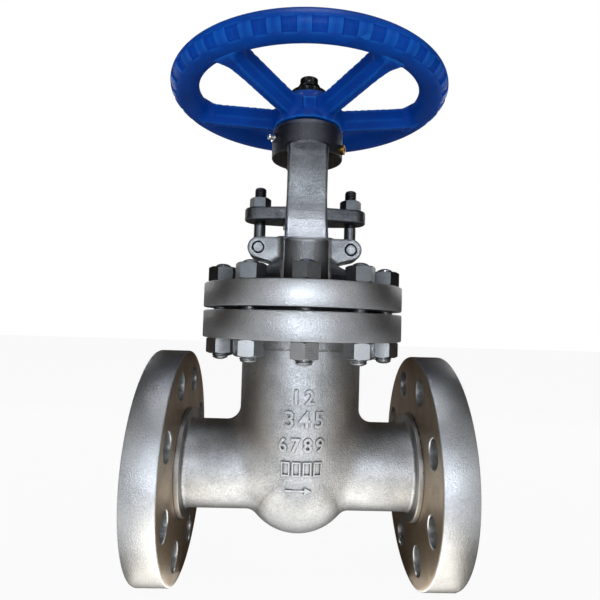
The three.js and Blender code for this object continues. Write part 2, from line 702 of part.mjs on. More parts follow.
function backseatBush() {
  const hole = aroundFlats(stemHole, MEDIUM);
  return turned([
    [hole, backseat],
    [bushHeadRadius, backseat],
    [bushHeadRadius, backseat + BUSH_HEAD - SEAT_GAP],
    [bushRadius, backseat + BUSH_HEAD - SEAT_GAP],
    [bushRadius, backseat + BUSH_HEAD + BUSH_LENGTH - SEAT_GAP],
    [hole, backseat + BUSH_HEAD + BUSH_LENGTH - SEAT_GAP],
    [hole, backseat],
  ], MEDIUM);
}

// ---------------------------------------------------------------- packing and gland
function packingRing(i) {
  const bottom = boxFloor + i * PACKING_HEIGHT;
  return ring(stemHole, boxRadius - SEAT_GAP, bottom, bottom + PACKING_HEIGHT, MEDIUM);
}

function glandFollower() {
  const hole = aroundFlats(stemHole, MEDIUM);
  const headBottom = glandBottom - FOLLOWER_HEAD;
  return turned([
    [hole, packingTop],
    [boxRadius - SEAT_GAP, packingTop],
    [boxRadius - SEAT_GAP, headBottom],
    [followerHeadRadius, headBottom],
    [followerHeadRadius, glandBottom],
    [hole, glandBottom],
    [hole, packingTop],
  ], MEDIUM);
}

// A lens of three circles joined by their common tangents.
function glandFlange() {
  const tangent = Math.acos((glandHalfWidth - glandEndRadius) / glandBoltSpread);
  const lean = THREE.MathUtils.radToDeg(tangent);
  const outline = [
    ...arc(glandBoltSpread, 0, glandEndRadius, -lean, lean, 8),
    ...arc(0, 0, glandHalfWidth, lean, 180 - lean, 3),
    ...arc(-glandBoltSpread, 0, glandEndRadius, 180 - lean, 180 + lean, 8),
    ...arc(0, 0, glandHalfWidth, 180 + lean, 360 - lean, 3),
  ];
  const [low, high] = [glandBottom - CUT_PAST, glandTop + CUT_PAST];
  return cut(
    plateAlongZ(outline, glandBottom, glandTop),
    holeAt(0, 0, stemHole, low, high, MEDIUM),
    holeAt(-glandBoltSpread, 0, eyeBoltRadius + RUN_GAP, low, high, COARSE),
    holeAt(glandBoltSpread, 0, eyeBoltRadius + RUN_GAP, low, high, COARSE),
  );
}

function eyeBolt(side) {
  const x = side * glandBoltSpread;
  const shank = new THREE.CylinderGeometry(eyeBoltRadius, eyeBoltRadius, eyeBoltTop - pinHeight, COARSE);
  shank.rotateX(Math.PI / 2).translate(x, 0, (eyeBoltTop + pinHeight) / 2);
  const eye = rodAlongY(eyeRadius, eyeThickness / 2, x, pinHeight, MEDIUM);
  const corner = aroundFlats(pinRadius + RUN_GAP, COARSE);
  return cut(join(solid(shank), eye), rodAlongY(corner, eyeThickness, x, pinHeight, COARSE));
}

function eyeBoltPin(side) {
  const halfLength = earHalfDepth + EYE_PIN_PROUD;
  return rodAlongY(pinRadius, halfLength, side * glandBoltSpread, pinHeight, COARSE);
}

// ---------------------------------------------------------------- fasteners
function hexNut(flats, hole, x, y, bottom, height, turn) {
  const corners = aroundCircle(6, flats / Math.sqrt(3), turn).map((c) => [x + c.x, y + c.y]);
  const blank = plateAlongZ(corners, bottom, bottom + height);
  return cut(blank, holeAt(x, y, hole, bottom - CUT_PAST, bottom + height + CUT_PAST, COARSE));
}

function bonnetStud({ x, y }) {
  const radius = STUD_DIAMETER / 2;
  const blank = new THREE.CylinderGeometry(radius, radius, studTop - studBottom, COARSE);
  return solid(blank.rotateX(Math.PI / 2).translate(x, y, (studTop + studBottom) / 2));
}

function bonnetNut({ x, y, angle }, bottom) {
  return hexNut(STUD_NUT_FLATS, STUD_DIAMETER / 2 + RUN_GAP, x, y, bottom, STUD_NUT_HEIGHT, angle);
}

function glandNut(side) {
  const x = side * glandBoltSpread;
  return hexNut(GLAND_NUT_FLATS, eyeBoltRadius + RUN_GAP, x, 0, glandTop, GLAND_NUT_HEIGHT, 0);
}

// ---------------------------------------------------------------- yoke sleeve and bearing
// A circle with two flats that face +Y and -Y.
function flattedCircle(radius, flat, steps) {
  const reach = THREE.MathUtils.radToDeg(Math.asin(flat / radius));
  return [...arc(0, 0, radius, -reach, reach, steps), ...arc(0, 0, radius, 180 - reach, 180 + reach, steps)];
}

function yokeSleeve() {
  const spindle = turned([
    [0, bossBottom + SLEEVE_BOTTOM_RECESS],
    [sleeveRadius, bossBottom + SLEEVE_BOTTOM_RECESS],
    [sleeveRadius, sleeveCollarBottom],
    [sleeveCollarRadius, sleeveCollarBottom],
    [sleeveCollarRadius, sleeveCollarTop],
    [sleeveShoulderRadius, sleeveCollarTop],
    [sleeveShoulderRadius, hubBottom],
    [0, hubBottom],
  ], MEDIUM);
  const drive = flattedCircle(sleeveTopRadius, sleeveFlat, SLEEVE_FLAT_STEPS);
  const top = wheelNutTop - SLEEVE_BELOW_NUT_TOP;
  const neck = plateAlongZ(drive, hubBottom - SINK, top);
  return cut(join(spindle, neck), holeAt(0, 0, stemHole, bossBottom - CUT_PAST, top + CUT_PAST, MEDIUM));
}

function race(bottom) {
  return ring(sleeveRadius + RUN_GAP, boreOfBoss - SEAT_GAP, bottom, bottom + RACE_THICKNESS, MEDIUM);
}

function ballCage() {
  const inner = sleeveRadius + 2 * RUN_GAP;
  const pitch = (inner + boreOfBoss) / 2;
  const half = CAGE_THICKNESS / 2;
  const cage = ring(pitch - CAGE_EDGE, pitch + CAGE_EDGE, ballCentre - half, ballCentre + half, MEDIUM);
  const balls = aroundCircle(BALLS, pitch, 0).map(({ x, y }) => (
    solid(new THREE.SphereGeometry(BALL_RADIUS, 6, 4).rotateX(Math.PI / 2).translate(x, y, ballCentre))
  ));
  return join(cage, ...balls);
}

function thrustWasher() {
  const inner = sleeveShoulderRadius + RUN_GAP;
  return ring(inner, boreOfBoss - SEAT_GAP, thrustWasherBottom, thrustWasherTop, MEDIUM);
}

function yokeCap() {
  const hole = aroundFlats(sleeveShoulderRadius + RUN_GAP, MEDIUM);
  return turned([
    [hole, thrustWasherTop + SEAT_GAP],
    [boreOfBoss - SEAT_GAP, thrustWasherTop + SEAT_GAP],
    [boreOfBoss - SEAT_GAP, bossTop],
    [capRadius, bossTop],
    [capRadius, capTop],
    [hole, capTop],
    [hole, thrustWasherTop + SEAT_GAP],
  ], MEDIUM);
}

// ---------------------------------------------------------------- handwheel
function spoke({ angle }) {
  const inner = hubTopRadius - SINK;
  const outer = WHEEL_RADIUS - RIM_HALF_WIDTH / 2;
  const low = hubBottom + SINK;
  const outline = [
    [inner, low],
    [outer, low + SPOKE_RIM_RISE],
    [outer, low + SPOKE_RIM_RISE + SPOKE_DEPTH],
    [inner, low + SPOKE_DEPTH],
  ];
  const options = { depth: SPOKE_WIDTH, bevelEnabled: false };
  const geometry = new THREE.ExtrudeGeometry(shapeOf(outline), options);
  geometry.translate(0, 0, -SPOKE_WIDTH / 2).rotateX(Math.PI / 2).rotateZ(angle);
  return solid(geometry);
}

function handwheel() {
  const section = arc(WHEEL_RADIUS, rimCentre, RIM_HALF_WIDTH, 0, 360, RIM_SIDES, RIM_HALF_HEIGHT);
  section[RIM_SIDES] = section[0];
  const rim = turned(section, FINE);
  const hub = turned([
    [0, hubBottom],
    [hubBottomRadius, hubBottom],
    [hubTopRadius, hubTop],
    [0, hubTop],
  ], MEDIUM);
  const drive = flattedCircle(sleeveTopRadius + SEAT_GAP, sleeveFlat + SEAT_GAP, SLEEVE_FLAT_STEPS);
  const hole = plateAlongZ(drive, hubBottom - CUT_PAST, hubTop + CUT_PAST);
  const spokes = aroundCircle(SPOKES, 1, FIRST_SPOKE).map(spoke);
  return cut(join(rim, hub, ...spokes), hole);
}

function handwheelNut() {
  const hole = aroundFlats(sleeveTopRadius + RUN_GAP, MEDIUM);
  return turned([
    [hole, hubTop],
    [wheelNutRadius, hubTop],
    [wheelNutRadius, wheelNutTop - WHEEL_NUT_CHAMFER],
    [wheelNutRadius - WHEEL_NUT_CHAMFER, wheelNutTop],
    [hole, wheelNutTop],
    [hole, hubTop],
  ], MEDIUM);
}

// ---------------------------------------------------------------- boss fittings
function greaseNipple() {
  const base = bossRadius + SEAT_GAP;
  const tip = base + NIPPLE_LENGTH;
  const neck = NIPPLE_SHANK_RADIUS - 1;
  return turnedRadially([
    [0, boreOfBoss + SEAT_GAP],
    [NIPPLE_SHANK_RADIUS, boreOfBoss + SEAT_GAP],
    [NIPPLE_SHANK_RADIUS, base],
    [NIPPLE_BASE_RADIUS, base],
    [NIPPLE_BASE_RADIUS, base + NIPPLE_LENGTH / 3],
    [neck, base + NIPPLE_LENGTH / 3],
    [neck, tip - NIPPLE_BALL_RADIUS],
    [NIPPLE_BALL_RADIUS, tip - NIPPLE_BALL_RADIUS / 2],
    [neck, tip],
    [0, tip],
  ], COARSE, NIPPLE_ANGLE, nippleHeight);
}

function bossSetScrew() {
  const base = bossRadius + SEAT_GAP;
  const tip = base + SCREW_HEAD;
  return turnedRadially([
    [0, boreOfBoss + SEAT_GAP],
    [SCREW_RADIUS, boreOfBoss + SEAT_GAP],
    [SCREW_RADIUS, base],
    [SCREW_HEAD_RADIUS, base],
    [SCREW_HEAD_RADIUS, tip],
    [SCREW_SOCKET_RADIUS, tip],
    [SCREW_SOCKET_RADIUS, tip - SCREW_SOCKET_DEPTH],
    [0, tip - SCREW_SOCKET_DEPTH],
  ], COARSE, SCREW_ANGLE, screwHeight);
}

// ---------------------------------------------------------------- assembly
const group = new THREE.Group();

group.add(
  mesh('valve_body', valveBody(), castSteel),
  mesh('seat_ring_inlet', seatRing(-1), hardFacing),
  mesh('seat_ring_outlet', seatRing(1), hardFacing),
  mesh('wedge', wedge(), hardFacing),
  mesh('stem', stem(), turnedSteel),
);

group.add(
  mesh('bonnet_gasket', ring(gasketInner, gasketInner + GASKET_WIDTH, bodyFlangeTop,
    bonnetFlangeBottom, FINE), graphite),
  mesh('bonnet_yoke', bonnetYoke(), castBonnet),
  mesh('backseat_bush', backseatBush(), hardFacing),
  mesh('gland_follower', glandFollower(), turnedSteel),
  mesh('gland_flange', glandFlange(), darkSteel),
);

for (let i = 0; i < PACKING_RINGS; i += 1) {
  group.add(mesh(`packing_ring_${i + 1}`, packingRing(i), graphite));
}

for (const [side, word] of [[-1, 'left'], [1, 'right']]) {
  group.add(
    mesh(`eye_bolt_${word}`, eyeBolt(side), zincSteel),
    mesh(`eye_bolt_pin_${word}`, eyeBoltPin(side), turnedSteel),
    mesh(`gland_nut_${word}`, glandNut(side), zincSteel),
  );
}

studPlaces().forEach((place, i) => {
  const number = String(i + 1).padStart(2, '0');
  const lowNut = bonnetNut(place, JOINT_FLANGE_BOTTOM - STUD_NUT_HEIGHT);
  group.add(
    mesh(`bonnet_stud_${number}`, bonnetStud(place), zincSteel),
    mesh(`bonnet_nut_top_${number}`, bonnetNut(place, bonnetFlangeTop), zincSteel),
    mesh(`bonnet_nut_bottom_${number}`, lowNut, zincSteel),
  );
});

group.add(
  mesh('yoke_sleeve', yokeSleeve(), bronze),
  mesh('bearing_housing_race', race(raceFloor), turnedSteel),
  mesh('bearing_ball_cage', ballCage(), turnedSteel),
  mesh('bearing_shaft_race', race(shaftRaceBottom), turnedSteel),
  mesh('thrust_washer', thrustWasher(), bronze),
  mesh('yoke_cap', yokeCap(), darkSteel),
  mesh('handwheel', handwheel(), blueEnamel),
  mesh('handwheel_nut', handwheelNut(), blackSteel),
  mesh('grease_nipple', greaseNipple(), turnedSteel),
  mesh('boss_set_screw', bossSetScrew(), brass),
);

export default group;
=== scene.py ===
"""A flanged gate valve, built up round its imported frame: cast body, bolted bonnet with its yoke,
stem, gland and handwheel. Shapes are worked out in millimetres and put into the scene in metres."""

import math

import bmesh
import bpy
import numpy as np
from mathutils import Matrix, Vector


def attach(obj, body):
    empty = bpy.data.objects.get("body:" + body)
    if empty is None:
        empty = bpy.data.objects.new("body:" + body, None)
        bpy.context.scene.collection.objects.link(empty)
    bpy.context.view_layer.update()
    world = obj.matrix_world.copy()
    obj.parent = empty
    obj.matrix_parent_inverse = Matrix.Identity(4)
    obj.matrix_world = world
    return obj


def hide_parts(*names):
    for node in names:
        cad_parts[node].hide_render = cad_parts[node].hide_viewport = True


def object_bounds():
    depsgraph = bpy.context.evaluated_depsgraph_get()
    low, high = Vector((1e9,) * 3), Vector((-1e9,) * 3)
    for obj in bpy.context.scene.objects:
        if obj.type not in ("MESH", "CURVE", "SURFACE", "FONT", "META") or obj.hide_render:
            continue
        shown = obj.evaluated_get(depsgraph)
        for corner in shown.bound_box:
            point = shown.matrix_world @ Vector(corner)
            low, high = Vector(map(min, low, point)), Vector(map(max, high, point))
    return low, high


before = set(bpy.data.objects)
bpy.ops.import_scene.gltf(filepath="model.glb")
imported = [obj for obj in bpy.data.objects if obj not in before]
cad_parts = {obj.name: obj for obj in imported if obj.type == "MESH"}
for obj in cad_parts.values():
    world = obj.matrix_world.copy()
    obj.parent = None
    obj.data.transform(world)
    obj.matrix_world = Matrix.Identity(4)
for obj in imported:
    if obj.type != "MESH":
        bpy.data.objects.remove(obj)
cad_box = [list(corner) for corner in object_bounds()]

# ---------------------------------------------------------------- camera
# A short lens stands close in front, level with the bonnet, so that the handwheel is seen from
# below and both pipe flanges show their inner faces.
EYE = (-0.014656, -0.497054, 0.139827)
YAW, PITCH, ROLL = 0.02369, 0.05038, 0.02961
FOCAL_LENGTH_MM, SENSOR_MM = 29.172, 36.0
CLIP_START = 0.01


def shown(name, data):
    """A new object in the scene that holds data."""
    made = bpy.data.objects.new(name, data)
    bpy.context.scene.collection.objects.link(made)
    return made


def standing(axes, place):
    """The matrix of an object at place whose own X, Y and Z run along axes."""
    return Matrix([[*row, p] for row, p in zip(np.array(axes).T, place)] + [[0, 0, 0, 1]])


forward = np.array([math.sin(YAW) * math.cos(PITCH), math.cos(YAW) * math.cos(PITCH), math.sin(PITCH)])
level = np.array([math.cos(YAW), -math.sin(YAW), 0.0])
upward = np.cross(level, forward)
right = level * math.cos(ROLL) + upward * math.sin(ROLL)
top = upward * math.cos(ROLL) - level * math.sin(ROLL)
camera = shown("camera", bpy.data.cameras.new("camera"))
camera.data.lens, camera.data.sensor_width, camera.data.clip_start = FOCAL_LENGTH_MM, SENSOR_MM, CLIP_START
camera.matrix_world = standing([right, top, -forward], EYE)
bpy.context.scene.camera = camera
bpy.context.scene.view_settings.view_transform = "Standard"


# ---------------------------------------------------------------- floor, room and lamps
# A pale matt floor under the flanges, in a pale room. A tall lamp in front, one overhead and two
# behind give the metal its bands of light, cards on the floor light it from below, and wide fills
# light only paint and floor.
FLOOR_HALF_SIDE = 6.0
FLOOR_COLOUR, FLOOR_ROUGHNESS, FLOOR_WHITENING = "#F2F1EE", 0.9, 0.925
ROOM_COLOUR, ROOM_TINT, ROOM_LIGHT = "#FFFFFF", "#E9EDF2", 0.30


def linear(hex_colour):
    """An sRGB hex colour as linear red, green, blue and alpha."""
    parts = np.array([int(hex_colour[i:i + 2], 16) / 255 for i in (1, 3, 5)])
    light = np.where(parts <= 0.04045, parts / 12.92, ((parts + 0.055) / 1.055) ** 2.4)
    return (*light.tolist(), 1.0)


def add(tree, kind, sockets=None, **settings):
    """Adds a shader node. settings are its own properties; sockets gives each input a value or a link."""
    made = tree.nodes.new("ShaderNode" + kind)
    for name, value in settings.items():
        setattr(made, name, value)
    for name, value in (sockets or {}).items():
        if isinstance(value, bpy.types.NodeSocket):
            tree.links.new(value, made.inputs[name])
        else:
            made.inputs[name].default_value = value
    return made


def seen_plainly(tree):
    """1 for rays from the camera, a mirror or glass, 0 for the rest."""
    rays = add(tree, "LightPath")
    seen = rays.outputs["Is Camera Ray"]
    for kind in ("Is Glossy Ray", "Is Transmission Ray"):
        seen = add(tree, "Math", {0: seen, 1: rays.outputs[kind]}, operation="MAXIMUM").outputs[0]
    return seen


def material(name):
    """A new material: itself, its node tree and its surface shader."""
    made = bpy.data.materials.new(name)
    made.use_nodes = True
    return made, made.node_tree, made.node_tree.nodes["Principled BSDF"]


def sheet(name, corners, paint):
    """A flat sheet with four corners."""
    mesh = bpy.data.meshes.new(name)
    mesh.from_pydata(corners, [], [(0, 1, 2, 3)])
    mesh.materials.append(paint)
    return shown(name, mesh)


def lying(x0, x1, y0, y1, z):
    """The corners of a level sheet."""
    return [(x0, y0, z), (x1, y0, z), (x1, y1, z), (x0, y1, z)]


def hanging(x0, y0, x1, y1, low, high):
    """The corners of an upright sheet."""
    return [(x0, y0, low), (x1, y1, low), (x1, y1, high), (x0, y0, high)]


room = bpy.data.worlds.new("pale_room")
room.use_nodes = True
bpy.context.scene.world = room
tree = room.node_tree
ambient = add(tree, "Background", {"Color": linear(ROOM_TINT), "Strength": ROOM_LIGHT})
white = add(tree, "Background", {"Color": linear(ROOM_COLOUR), "Strength": 1.0})
blend = add(tree, "MixShader", {0: seen_plainly(tree), 1: ambient.outputs[0], 2: white.outputs[0]})
tree.links.new(blend.outputs[0], tree.nodes["World Output"].inputs["Surface"])

# White floor paint, matt, so that it takes a soft shadow. It glows where it is looked at.
floor_paint, tree, matt = material("matt_white_floor")
matt.inputs["Base Color"].default_value = linear(FLOOR_COLOUR)
matt.inputs["Roughness"].default_value = FLOOR_ROUGHNESS
glow = add(tree, "Emission", {"Color": linear(ROOM_COLOUR), "Strength": 1.0})
share = add(tree, "Math", {0: seen_plainly(tree), 1: FLOOR_WHITENING}, operation="MULTIPLY")
blend = add(tree, "MixShader", {0: share.outputs[0], 1: matt.outputs[0], 2: glow.outputs[0]})
tree.links.new(blend.outputs[0], tree.nodes["Material Output"].inputs["Surface"])

side = FLOOR_HALF_SIDE
floor = sheet("floor", lying(-side, side, -side, side, cad_box[0][2]), floor_paint)


def lamp(name, place, aim, width, height, watts, colour, mirrored, matt=True):
    """A rectangular lamp at place that faces aim. mirrored says whether metal shows it, matt whether it
    lights paint and the floor."""
    light = bpy.data.lights.new(name, "AREA")
    light.shape, light.size, light.size_y = "RECTANGLE", width, height
    light.energy, light.color = watts, linear(colour)[:3]
    lit = shown(name, light)
    away = np.array(place) - np.array(aim)
    away = away / np.linalg.norm(away)
    across = np.cross((0, 0, 1), away)
    across = across / np.linalg.norm(across)
    lit.matrix_world = standing([across, np.cross(away, across), away], place)
    lit.visible_camera, lit.visible_glossy, lit.visible_diffuse = False, mirrored, matt


MIDDLE = (0.0, 0.0, 0.14)
CARD_LEVEL, MAT_LEVEL = -0.107, -0.109
lamp("front_lamp", (0.0, -1.35, 0.17), MIDDLE, 0.18, 0.40, 5.6, "#F0F6FF", True)
lamp("top_lamp", (0.0, -0.30, 1.0), (0.0, -0.05, 0.2), 0.22, 0.34, 1.9, "#F8FBFF", True, matt=False)
for name, x, watts, colour in (
        ("dome_card", 0.0, 0.050, "#FFF7E8"),
        ("left_neck_card", -0.10, 0.125, "#FFF9EE"),
        ("right_neck_card", 0.10, 0.125, "#FFF9EE")):
    lamp(name, (x, -0.12, CARD_LEVEL), (x, -0.11, 0.2), 0.10, 0.23, watts, colour, True)
lamp("back_left_lamp", (-0.85, 0.80, 0.50), MIDDLE, 0.35, 0.45, 1.7, "#FFFFFF", True)
lamp("back_right_lamp", (0.85, 0.80, 0.50), MIDDLE, 0.35, 0.45, 1.7, "#FFFFFF", True)
lamp("left_fill", (-1.10, -0.95, 0.50), MIDDLE, 0.6, 0.8, 4.0, "#F4F8FF", False)
lamp("right_fill", (1.20, -0.90, 0.40), MIDDLE, 0.6, 0.8, 3.0, "#FFF8EE", False)
lamp("sky_fill", (0.2, 0.1, 1.8), (0.0, 0.0, 0.0), 1.8, 1.8, 4.5, "#FFFFFF", False)

# Cloths hang out of sight round the valve, brown at the sides, behind and overhead and grey above the
# front lamp, and mats lie on the floor, so that bright metal has something dark to mirror and its
# round forms turn away into shade. Only mirrored light meets them.
LEFT, RIGHT, FRONT, BACK, FOOT, TOP = -0.85, 0.85, -1.45, 1.1, -0.10, 1.1
SIDE_START, FRONT_FOOT = -0.6, 0.42
for name, colour, corners in (
        ("left_cloth", "#33271A", hanging(LEFT, SIDE_START, LEFT, BACK, FOOT, TOP)),
        ("right_cloth", "#33271A", hanging(RIGHT, SIDE_START, RIGHT, BACK, FOOT, TOP)),
        ("back_cloth", "#3A2B19", hanging(LEFT, BACK, RIGHT, BACK, FOOT, TOP)),
        ("front_cloth", "#48525F", hanging(LEFT, FRONT, RIGHT, FRONT, FRONT_FOOT, TOP)),
        ("top_cloth", "#2C2721", lying(LEFT, RIGHT, FRONT, BACK, TOP)),
        ("back_mat", "#453729", lying(-0.7, 0.7, 0.0, 1.0, MAT_LEVEL)),
        ("left_mat", "#8E867B", lying(-0.5, -0.11, -0.12, 0.0, MAT_LEVEL)),
        ("right_mat", "#8E867B", lying(0.11, 0.5, -0.19, 0.0, MAT_LEVEL)),
        ("front_mat", "#5C6C82", lying(-0.85, 0.85, -1.4, -0.37, MAT_LEVEL))):
    dye, _, surface = material(name)
    surface.inputs["Base Color"].default_value = linear(colour)
    surface.inputs["Roughness"].default_value = 1.0
    cloth = sheet(name, corners, dye)
    cloth.visible_camera = cloth.visible_shadow = cloth.visible_diffuse = False


# ---------------------------------------------------------------- cast body
# The body is one sand casting in carbon steel: an upright barrel with a domed foot and a neck to
# each pipe flange, all run together in wide fillets, then shot-blasted to an even light grey.
BORE_RADIUS = 32.5
NECK_RADIUS, NECK_END = 42.5, 114.0
COLLAR_RADIUS, COLLAR_START, COLLAR_FILLET, COLLAR_EDGE = 52.5, 108.0, 2.6, 1.5
COLLAR_FINISH_FROM, COLLAR_FINISH_OUT = 105.4, 43.1
BARREL_RADIUS, BARREL_FOOT, BARREL_TOP = 59.4, 55.0, 127.0
DOME_RADIUS, DOME_CENTRE = 56.0, -8.0
NECK_FILLET_FOOT, NECK_FILLET_TOP, FILLET_LOW, FILLET_HIGH = 4.0, 15.0, -34.0, 20.0
TURNED_BAND, TURNED_DEPTH, TURNED_EDGE = 116.0, 0.9, 0.8
CHAMBER_RADIUS, CHAMBER_DEPTH, CHAMBER_HALF = 47.4, 53.0, 24.0
SEAT_BOSS_TOP = 49.5
RIB_HALF, RIB_FACE, RIB_BOTTOM, RIB_TOP = 5.0, 40.1, -30.0, 118.0
BODY_BOX, BODY_STEP = ((-115.5, -62, -66), (115.5, 62, 128.5)), 1.7
SLIDES, LEAST_SLOPE, NUDGE = 4, 0.3, 0.05
# The colour and reach of the painted shade in inner corners.
CORNER_SHADE_COLOUR, CORNER_SHADE_REACH = "#2B2723", 0.0024
TONE_STARTS, TONE_FULL, SHEEN_STARTS, SHEEN_FULL, SHEEN_SPREAD = 0.72, 1.28, 0.7, 1.3, 0.08
EDGE_STARTS, EDGE_FULL, SKY_STARTS, SKY_FULL = 0.505, 0.56, 0.9, 0.45


def piece(name, points, faces, coats, which=None, normals=None, crease=32):
    """A mesh object from points in millimetres and faces of four corners. which picks each face's
    finish. Edges sharper than crease degrees stay sharp, unless each point is given its normal."""
    keys, number = np.unique(np.round(points, 4) + 0.0, axis=0, return_index=True, return_inverse=True)[1:]
    faces = number.reshape(-1)[faces]
    size = 1 + (np.diff(np.sort(faces, 1), axis=1) > 0).sum(1)
    kept = np.flatnonzero(size > 2)
    mesh = bpy.data.meshes.new(name)
    if (size == 4).all():
        mesh.vertices.add(len(keys))
        mesh.vertices.foreach_set("co", (points[keys] / 1000).astype(np.float32).ravel())
        mesh.loops.add(faces.size)
        mesh.loops.foreach_set("vertex_index", faces.astype(np.int32).ravel())
        mesh.polygons.add(len(faces))
        mesh.polygons.foreach_set("loop_start", (np.arange(len(faces)) * 4).astype(np.int32))
    else:
        corners = [list(dict.fromkeys(face)) for face in faces[kept].tolist()]
        mesh.from_pydata((points[keys] / 1000).tolist(), [], corners)
    mesh.update(calc_edges=True)
    for coat in coats:
        mesh.materials.append(coat)
    if which is not None:
        mesh.polygons.foreach_set("material_index", np.asarray(which)[kept].astype(np.int32))
    mesh.shade_smooth()
    if normals is None:
        shell = bmesh.new()
        shell.from_mesh(mesh)
        bmesh.ops.recalc_face_normals(shell, faces=shell.faces)
        shell.to_mesh(mesh)
        shell.free()
        mesh.set_sharp_from_angle(angle=math.radians(crease))
    else:
        mesh.normals_split_custom_set_from_vertices(normals[keys].tolist())
    return shown(name, mesh)


def belongs(made, body, slot, *nodes):
    """The piece moves with a body and stands for CAD nodes. Its slot is not used."""
    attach(made, body)
    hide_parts(*nodes)


def skin(field, low, high, step):
    """Points, faces and normals of the skin on which field(x, y, z) is zero; field is a distance in
    millimetres, below zero inside. It is read at the corners of cubes of side step. A cube that
    the skin crosses gets one point, the mean of the crossings on its twelve edges, and each edge
    that crosses gets a face from the four cubes round it. Each point then slides onto the skin."""
    low = np.array(low, float)
    axes = [a + step * np.arange(int((b - a) / step) + 2) for a, b in zip(low, high)]
    values = field(*np.meshgrid(*axes, indexing="ij"))
    inside = values < 0
    count = np.array(values.shape) - 1
    corners = np.array([(i, j, k) for i in (0, 1) for j in (0, 1) for k in (0, 1)])
    full = sum(inside[i:i + count[0], j:j + count[1], k:k + count[2]].astype(np.int8) for i, j, k in corners)
    cubes = np.argwhere((full > 0) & (full < 8))
    reading = np.stack([values[tuple((cubes + c).T)] for c in corners], 1)
    total, hits = np.zeros((len(cubes), 3)), np.zeros(len(cubes))
    for a in range(8):
        for b in range(a + 1, 8):
            if np.abs(corners[a] - corners[b]).sum() == 1:
                crosses = (reading[:, a] < 0) != (reading[:, b] < 0)
                gap = np.where(crosses, reading[:, a] - reading[:, b], 1)
                along = np.where(crosses, reading[:, a] / gap, 0)[:, None]
                total += crosses[:, None] * (corners[a] + along * (corners[b] - corners[a]))
                hits += crosses
    points = low + step * (cubes + total / hits[:, None])
    for _ in range(SLIDES):
        slope = slope_of(field, points)
        reach = field(*points.T)[:, None] / np.maximum((slope ** 2).sum(1, keepdims=True), LEAST_SLOPE)
        points = points - np.clip(reach * slope, -step / 2, step / 2)
    slope = slope_of(field, points)
    number = np.full(count, -1)
    number[tuple(cubes.T)] = np.arange(len(cubes))
    faces = []
    for axis in range(3):
        u, v = (axis + 1) % 3, (axis + 2) % 3
        first = np.take(inside, range(count[axis]), axis)
        last = np.take(inside, range(1, count[axis] + 1), axis)
        edges = np.argwhere(first != last)
        edges = edges[((edges[:, [u, v]] > 0) & (edges[:, [u, v]] < count[[u, v]])).all(1)]
        ring = []
        for du, dv in ((0, 0), (1, 0), (1, 1), (0, 1)):
            cube = edges.copy()
            cube[:, u] -= du
            cube[:, v] -= dv
            ring.append(number[tuple(cube.T)])
        quads = np.stack(ring, 1)
        outward = first[tuple(edges.T)]
        faces.append(np.where(outward[:, None], quads, quads[:, ::-1]))
    length = np.maximum(np.linalg.norm(slope, axis=1, keepdims=True), 1e-6)
    return points, np.concatenate(faces), slope / length


def slope_of(field, points):
    """How fast field grows along X, Y and Z at each point, from readings a nudge to each side of it."""
    nudges = np.eye(3) * NUDGE
    return np.stack([(field(*(points + n).T) - field(*(points - n).T)) / (2 * NUDGE) for n in nudges], 1)


def joined(a, b, fillet):
    """Two distances as one solid, with a fillet of that radius where they meet."""
    return np.maximum(fillet, np.minimum(a, b)) - np.hypot(np.maximum(fillet - a, 0), np.maximum(fillet - b, 0))


def shared(a, b, edge):
    """What lies inside both distances, with its edge rounded to that radius."""
    return -joined(-a, -b, edge)


def eased(value, start, end):
    """0 up to start, 1 from end on, and a smooth S between them."""
    share = np.clip((value - start) / (end - start), 0, 1)
    return share * share * (3 - 2 * share)


def barrel_wall(z):
    """The barrel's radius, which grows in a smooth S from the dome's to its own."""
    return DOME_RADIUS + (BARREL_RADIUS - DOME_RADIUS) * eased(z, DOME_CENTRE, BARREL_FOOT)


def body_casting(x, y, z):
    """Barrel and dome, necks along X, a collar behind each flange, less the bore and the gate's
    chamber."""
    r, ring = np.hypot(x, y), np.hypot(y, z)
    wall = barrel_wall(z) - TURNED_DEPTH * np.clip((z - TURNED_BAND) / TURNED_EDGE, 0, 1)
    barrel = np.hypot(r, np.minimum(z - DOME_CENTRE, 0)) - wall
    collar = shared(ring - COLLAR_RADIUS, COLLAR_START - np.abs(x), COLLAR_EDGE)
    neck = joined(ring - NECK_RADIUS, collar, COLLAR_FILLET)
    fillet = NECK_FILLET_FOOT + (NECK_FILLET_TOP - NECK_FILLET_FOOT) * eased(z, FILLET_LOW, FILLET_HIGH)
    solid = np.maximum(joined(barrel, neck, fillet), np.maximum(np.abs(x) - NECK_END, z - BARREL_TOP))
    round_part = np.hypot(r, np.minimum(z, 0) * CHAMBER_RADIUS / CHAMBER_DEPTH) - CHAMBER_RADIUS
    seat_boss = np.maximum(CHAMBER_HALF - np.abs(x), z - SEAT_BOSS_TOP)
    rib = np.maximum(np.maximum(np.abs(x) - RIB_HALF, RIB_FACE - np.abs(y)),
                     np.maximum(RIB_BOTTOM - z, z - RIB_TOP))
    chamber = np.maximum(np.maximum(round_part, -seat_boss), -rib)
    return np.maximum(solid, -np.minimum(chamber, ring - BORE_RADIUS))


def ramp(tree, value, start, end, low=0.0, high=1.0):
    """A share that runs from low to high while value runs from start to end."""
    ends = {"From Min": start, "From Max": end, "To Min": low, "To Max": high}
    return add(tree, "MapRange", {"Value": value, **ends}).outputs[0]


def blended(tree, share, colour, other):
    """One colour turned into the other by a share."""
    return add(tree, "Mix", {0: share, 6: colour, 7: other}, data_type="RGBA").outputs[2]


def noise(tree, place, size_mm, detail, roughness=0.5):
    """Soft noise whose patches are about size_mm across."""
    look = {"Scale": 1000 / size_mm, "Detail": detail, "Roughness": roughness}
    return add(tree, "TexNoise", {"Vector": place, **look}).outputs["Fac"]


